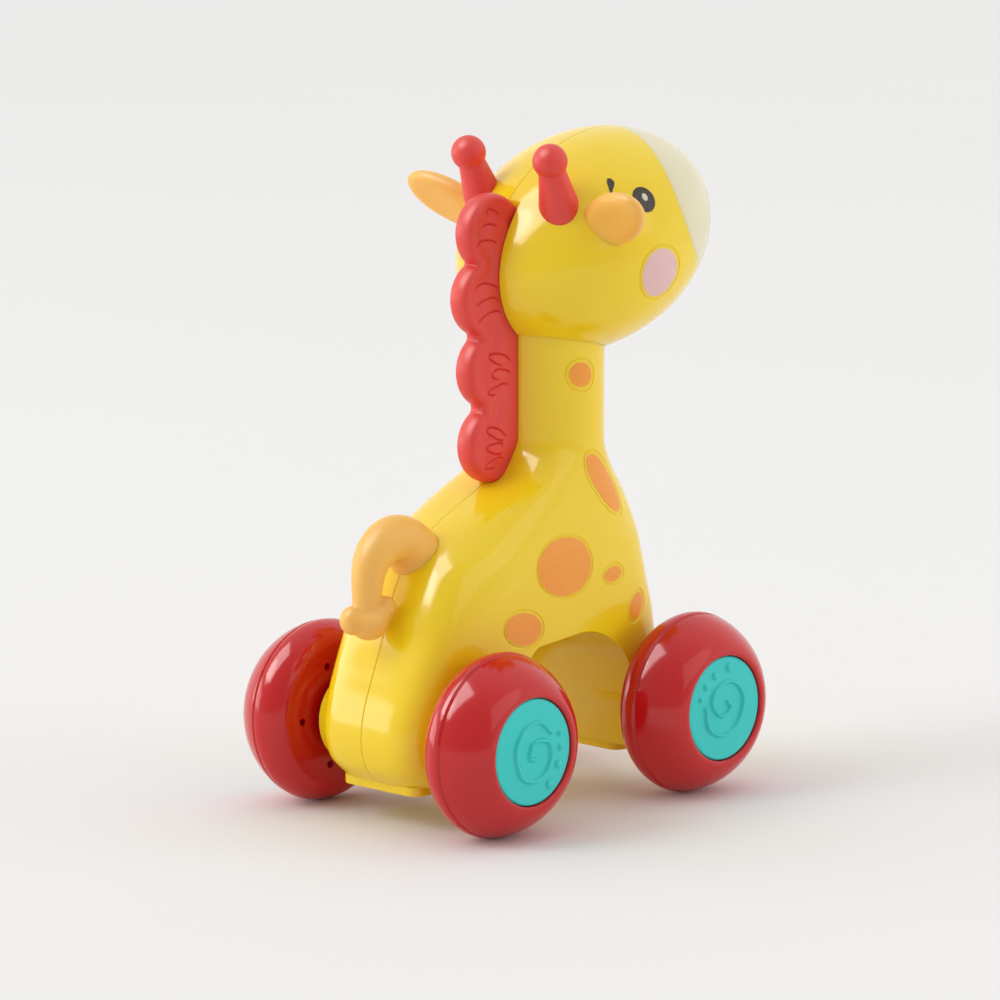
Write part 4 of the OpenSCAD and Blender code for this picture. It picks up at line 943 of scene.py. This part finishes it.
def capHeight(u, v):  # ridge of the spiral and the drops beside it
    near = spiral.find((u, v, 0))[2]
    rise = 0.0
    if near < cap["width"]:
        rise = cap["height"] * (0.5 + 0.5 * math.cos(math.pi * near / cap["width"])) ** 0.8
    for x, y, r in cap["drops"]:
        away = math.hypot(u - x, v - y) / r
        if away < 1:
            rise = max(rise, cap["height"] * (1 - away * away) ** 0.6)
    return rise


capRings = []  # (radius, heights round the ring) from the middle out
for i in range(cap["rings"] + 1):
    r = wheel["capR"] * i / cap["rings"]
    edge = max(0.0, r - (wheel["capR"] - cap["edge"])) / cap["edge"]
    dome = wheel["capY"][1] + cap["crown"] * (1 - (r / wheel["capR"]) ** 2)
    dome -= cap["edge"] * (1 - math.sqrt(max(0.0, 1 - edge * edge)))
    raised = r < wheel["capR"] - cap["bare"]
    capRings.append((r, [dome + (capHeight(r * math.cos(a), r * math.sin(a)) if raised else 0.0)
                         for a in circle(cap["around"])]))


def hubCap(x, side, spin):
    n, rings = cap["around"], cap["rings"]
    points = [Vector((x, side * capRings[0][1][0], axleZ))]
    for r, heights in capRings[1:]:
        for a, y in zip(circle(n), heights):
            across, up = r * math.cos(a + spin), r * math.sin(a + spin)
            points.append(Vector((x - side * across, side * y, axleZ + up)))
    rim, back = 1 + (rings - 1) * n, len(points)
    points += [Vector((p.x, side * wheel["capY"][0], p.z)) for p in points[rim:]]
    return points, discFaces(0, n, rings) + band(rim, back, n) + [tuple(range(back, back + n))]


outerHalf, innerHalf = wheelSections()
for axle, x, turn in wheel["places"]:
    for side, word in bothSides:
        name, rideOn = axle + "_" + word, axle + "_wheels"
        made = shape("wheel_outer_" + name + "_visual", [lathed(outerHalf, x, side)])
        deliver(made, rideOn, absRed, ["wheel_outer_" + name])
        made = shape("wheel_inner_" + name + "_visual", [lathed(innerHalf, x, side)])
        ringR, pinR, first, count = wheel["pins"]
        pins = []
        for k in range(count):
            a = math.radians(first + 360 / count * k)
            at = (x + ringR * math.cos(a), 0, axleZ + ringR * math.sin(a))
            pins.append(bar(pinR, wheel["inY"] - 2, wheel["inY"] + 2.6, at, (0, side, 0), 24))
        carve(made, "DIFFERENCE", shape("pins", pins))
        deliver(made, rideOn, absRed, ["wheel_inner_" + name])
        made = shape("hub_cap_" + name + "_visual", [hubCap(x, side, math.radians(turn))])
        deliver(made, rideOn, absTeal, ["hub_cap_" + name], 60)
print("wheels built")

# Return spring: steel wire wound round the plunger's stem
spring = {"wire": 1.4, "coils": 7, "stroke": 10.0, "steps": 36}
low, high = (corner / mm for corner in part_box("return_spring"))
length, coilR = high.z - low.z, (high.y - low.y - spring["wire"]) / 2
coilX = (low.x + high.x) / 2 + midX
count = spring["coils"] * spring["steps"]
path = []
for k, a in enumerate(arc(0, 2 * math.pi * spring["coils"], count)):
    rise = low.z + spring["wire"] / 2 + (length - spring["wire"]) * k / count
    path.append(Vector((coilX + coilR * math.cos(a), coilR * math.sin(a), rise)))
made = shape("return_spring_visual", [tube(path, spring["wire"] / 2, 14)])
deliver(made, "body", steel, ["return_spring"])
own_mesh(made)
print("spring built")

# CAD pieces that show as they are
looks = {"yellow": absYellow, "white": acetal, "steel": steel}
slotOf = {p["node"]: p["material_slot"] for p in frame["record"]["subparts"]}
for name, node in cadNodes.items():
    if node.hide_render:
        continue
    node.data.materials.clear()
    node.data.materials.append(looks[slotOf[name]])
    smoothed(node.data, 30)

# Camera: turned behind the right side and raised a little, in degrees; the place is in mm
camera = {"turn": 46.42489, "rise": 10.06234, "at": (-926.2273, -879.2153, 295.5627),
          "sensor": 36, "zoom": 5.673506}
turn, rise = math.radians(camera["turn"]), math.radians(camera["rise"])
toCamera = Vector((-math.sin(turn) * math.cos(rise), -math.cos(turn) * math.cos(rise), math.sin(rise)))
cameraData = bpy.data.cameras.new("camera")
cameraData.sensor_width = camera["sensor"]
cameraData.lens = camera["zoom"] * camera["sensor"]
cameraData.clip_start, cameraData.clip_end = 0.05, 60
cameraData.dof.use_dof = False
cameraObject = bpy.data.objects.new("camera", cameraData)
cameraObject.location = toPart @ Vector(camera["at"])
cameraObject.rotation_mode = "QUATERNION"
cameraObject.rotation_quaternion = (-toCamera).to_track_quat("-Z", "Y")
scene.collection.objects.link(cameraObject)
scene.camera = cameraObject
scene.view_settings.view_transform = "Standard"

# Floor: matt white paper, which takes soft shadows and a little colour from the wheels
reach = 12.0
corners = [(-reach, -reach, 0), (reach, -reach, 0), (reach, reach, 0), (-reach, reach, 0)]
floorMesh = bpy.data.meshes.new("floor")
floorMesh.from_pydata(corners, [], [(0, 1, 2, 3)])
floor = bpy.data.objects.new("floor", floorMesh)
scene.collection.objects.link(floor)
paper = material({"name": "paper matt white", "tones": ("#E9E8E7", "#EAE9E8"), "cloud": 400,
                  "grain": 2.0, "rough": (0.85, 0.95), "relief": 0.0, "ior": 1.45})
floorMesh.materials.append(paper)

# World: a white tent, open and so darker on the camera's side, between two cosines of the angle to the camera
tent = {"away": 0.98, "open": 0.46, "from": 0.1, "to": 0.95, "light": "#FFFFFF", "seen": "#EFEFEE"}
world = bpy.data.worlds.new("studio")
scene.world = world
world.use_nodes = True
tree = world.node_tree
tree.nodes.clear()
ray = add(tree, "ShaderNodeLightPath", {}, {})
where = add(tree, "ShaderNodeTexCoord", {}, {})
facing = add(tree, "ShaderNodeVectorMath", {"operation": "DOT_PRODUCT"}, {})
facing.inputs[1].default_value = toCamera
tree.links.new(where.outputs["Generated"], facing.inputs[0])
level = add(tree, "ShaderNodeMapRange",
            {"From Min": tent["from"], "From Max": tent["to"],
             "To Min": tent["away"], "To Max": tent["open"]},
            {"Value": facing.outputs["Value"]})
room = add(tree, "ShaderNodeBackground", {"Color": linear(tent["light"])},
           {"Strength": level.outputs["Result"]})
seen = add(tree, "ShaderNodeBackground", {"Color": linear(tent["seen"]), "Strength": 1.0}, {})
view = add(tree, "ShaderNodeMixShader", {}, {"Fac": ray.outputs["Is Camera Ray"]})
tree.links.new(room.outputs[0], view.inputs[1])
tree.links.new(seen.outputs[0], view.inputs[2])
add(tree, "ShaderNodeOutputWorld", {}, {"Surface": view.outputs[0]})


def lamp(name, kind, place, aimZ, energy, **settings):  # a light that points at the middle of the toy
    data = bpy.data.lights.new(name, kind)
    data.energy = energy
    for key, value in settings.items():
        setattr(data, key, value)
    obj = bpy.data.objects.new(name, data)
    obj.location = place
    obj.rotation_mode = "QUATERNION"
    obj.rotation_quaternion = (Vector((0, 0, aimZ)) - Vector(place)).to_track_quat("-Z", "Y")
    scene.collection.objects.link(obj)
    return obj


lamp("key", "SUN", (-1.4, 0.75, 1.5), 0.05, 0.7, angle=math.radians(28))
window = lamp("window", "AREA", (-1.0, 0.5, 1.6), 0.08, 32, shape="RECTANGLE", size=1.3, size_y=1.5)
window.visible_diffuse = False  # for reflections only
fill = lamp("fill", "AREA", (0.2, -1.6, 1.1), 0.08, 4, shape="RECTANGLE", size=1.6, size_y=1.2)
fill.visible_diffuse = False
lamp("side", "AREA", (-0.75, 1.1, 0.24), 0.05, 4, shape="RECTANGLE", size=1.2, size_y=0.45)
low = lamp("low", "AREA", (0.8, -0.9, 0.25), 0.05, 2.5, shape="RECTANGLE", size=0.6, size_y=0.4)
low.visible_glossy = False
print("stage ready")
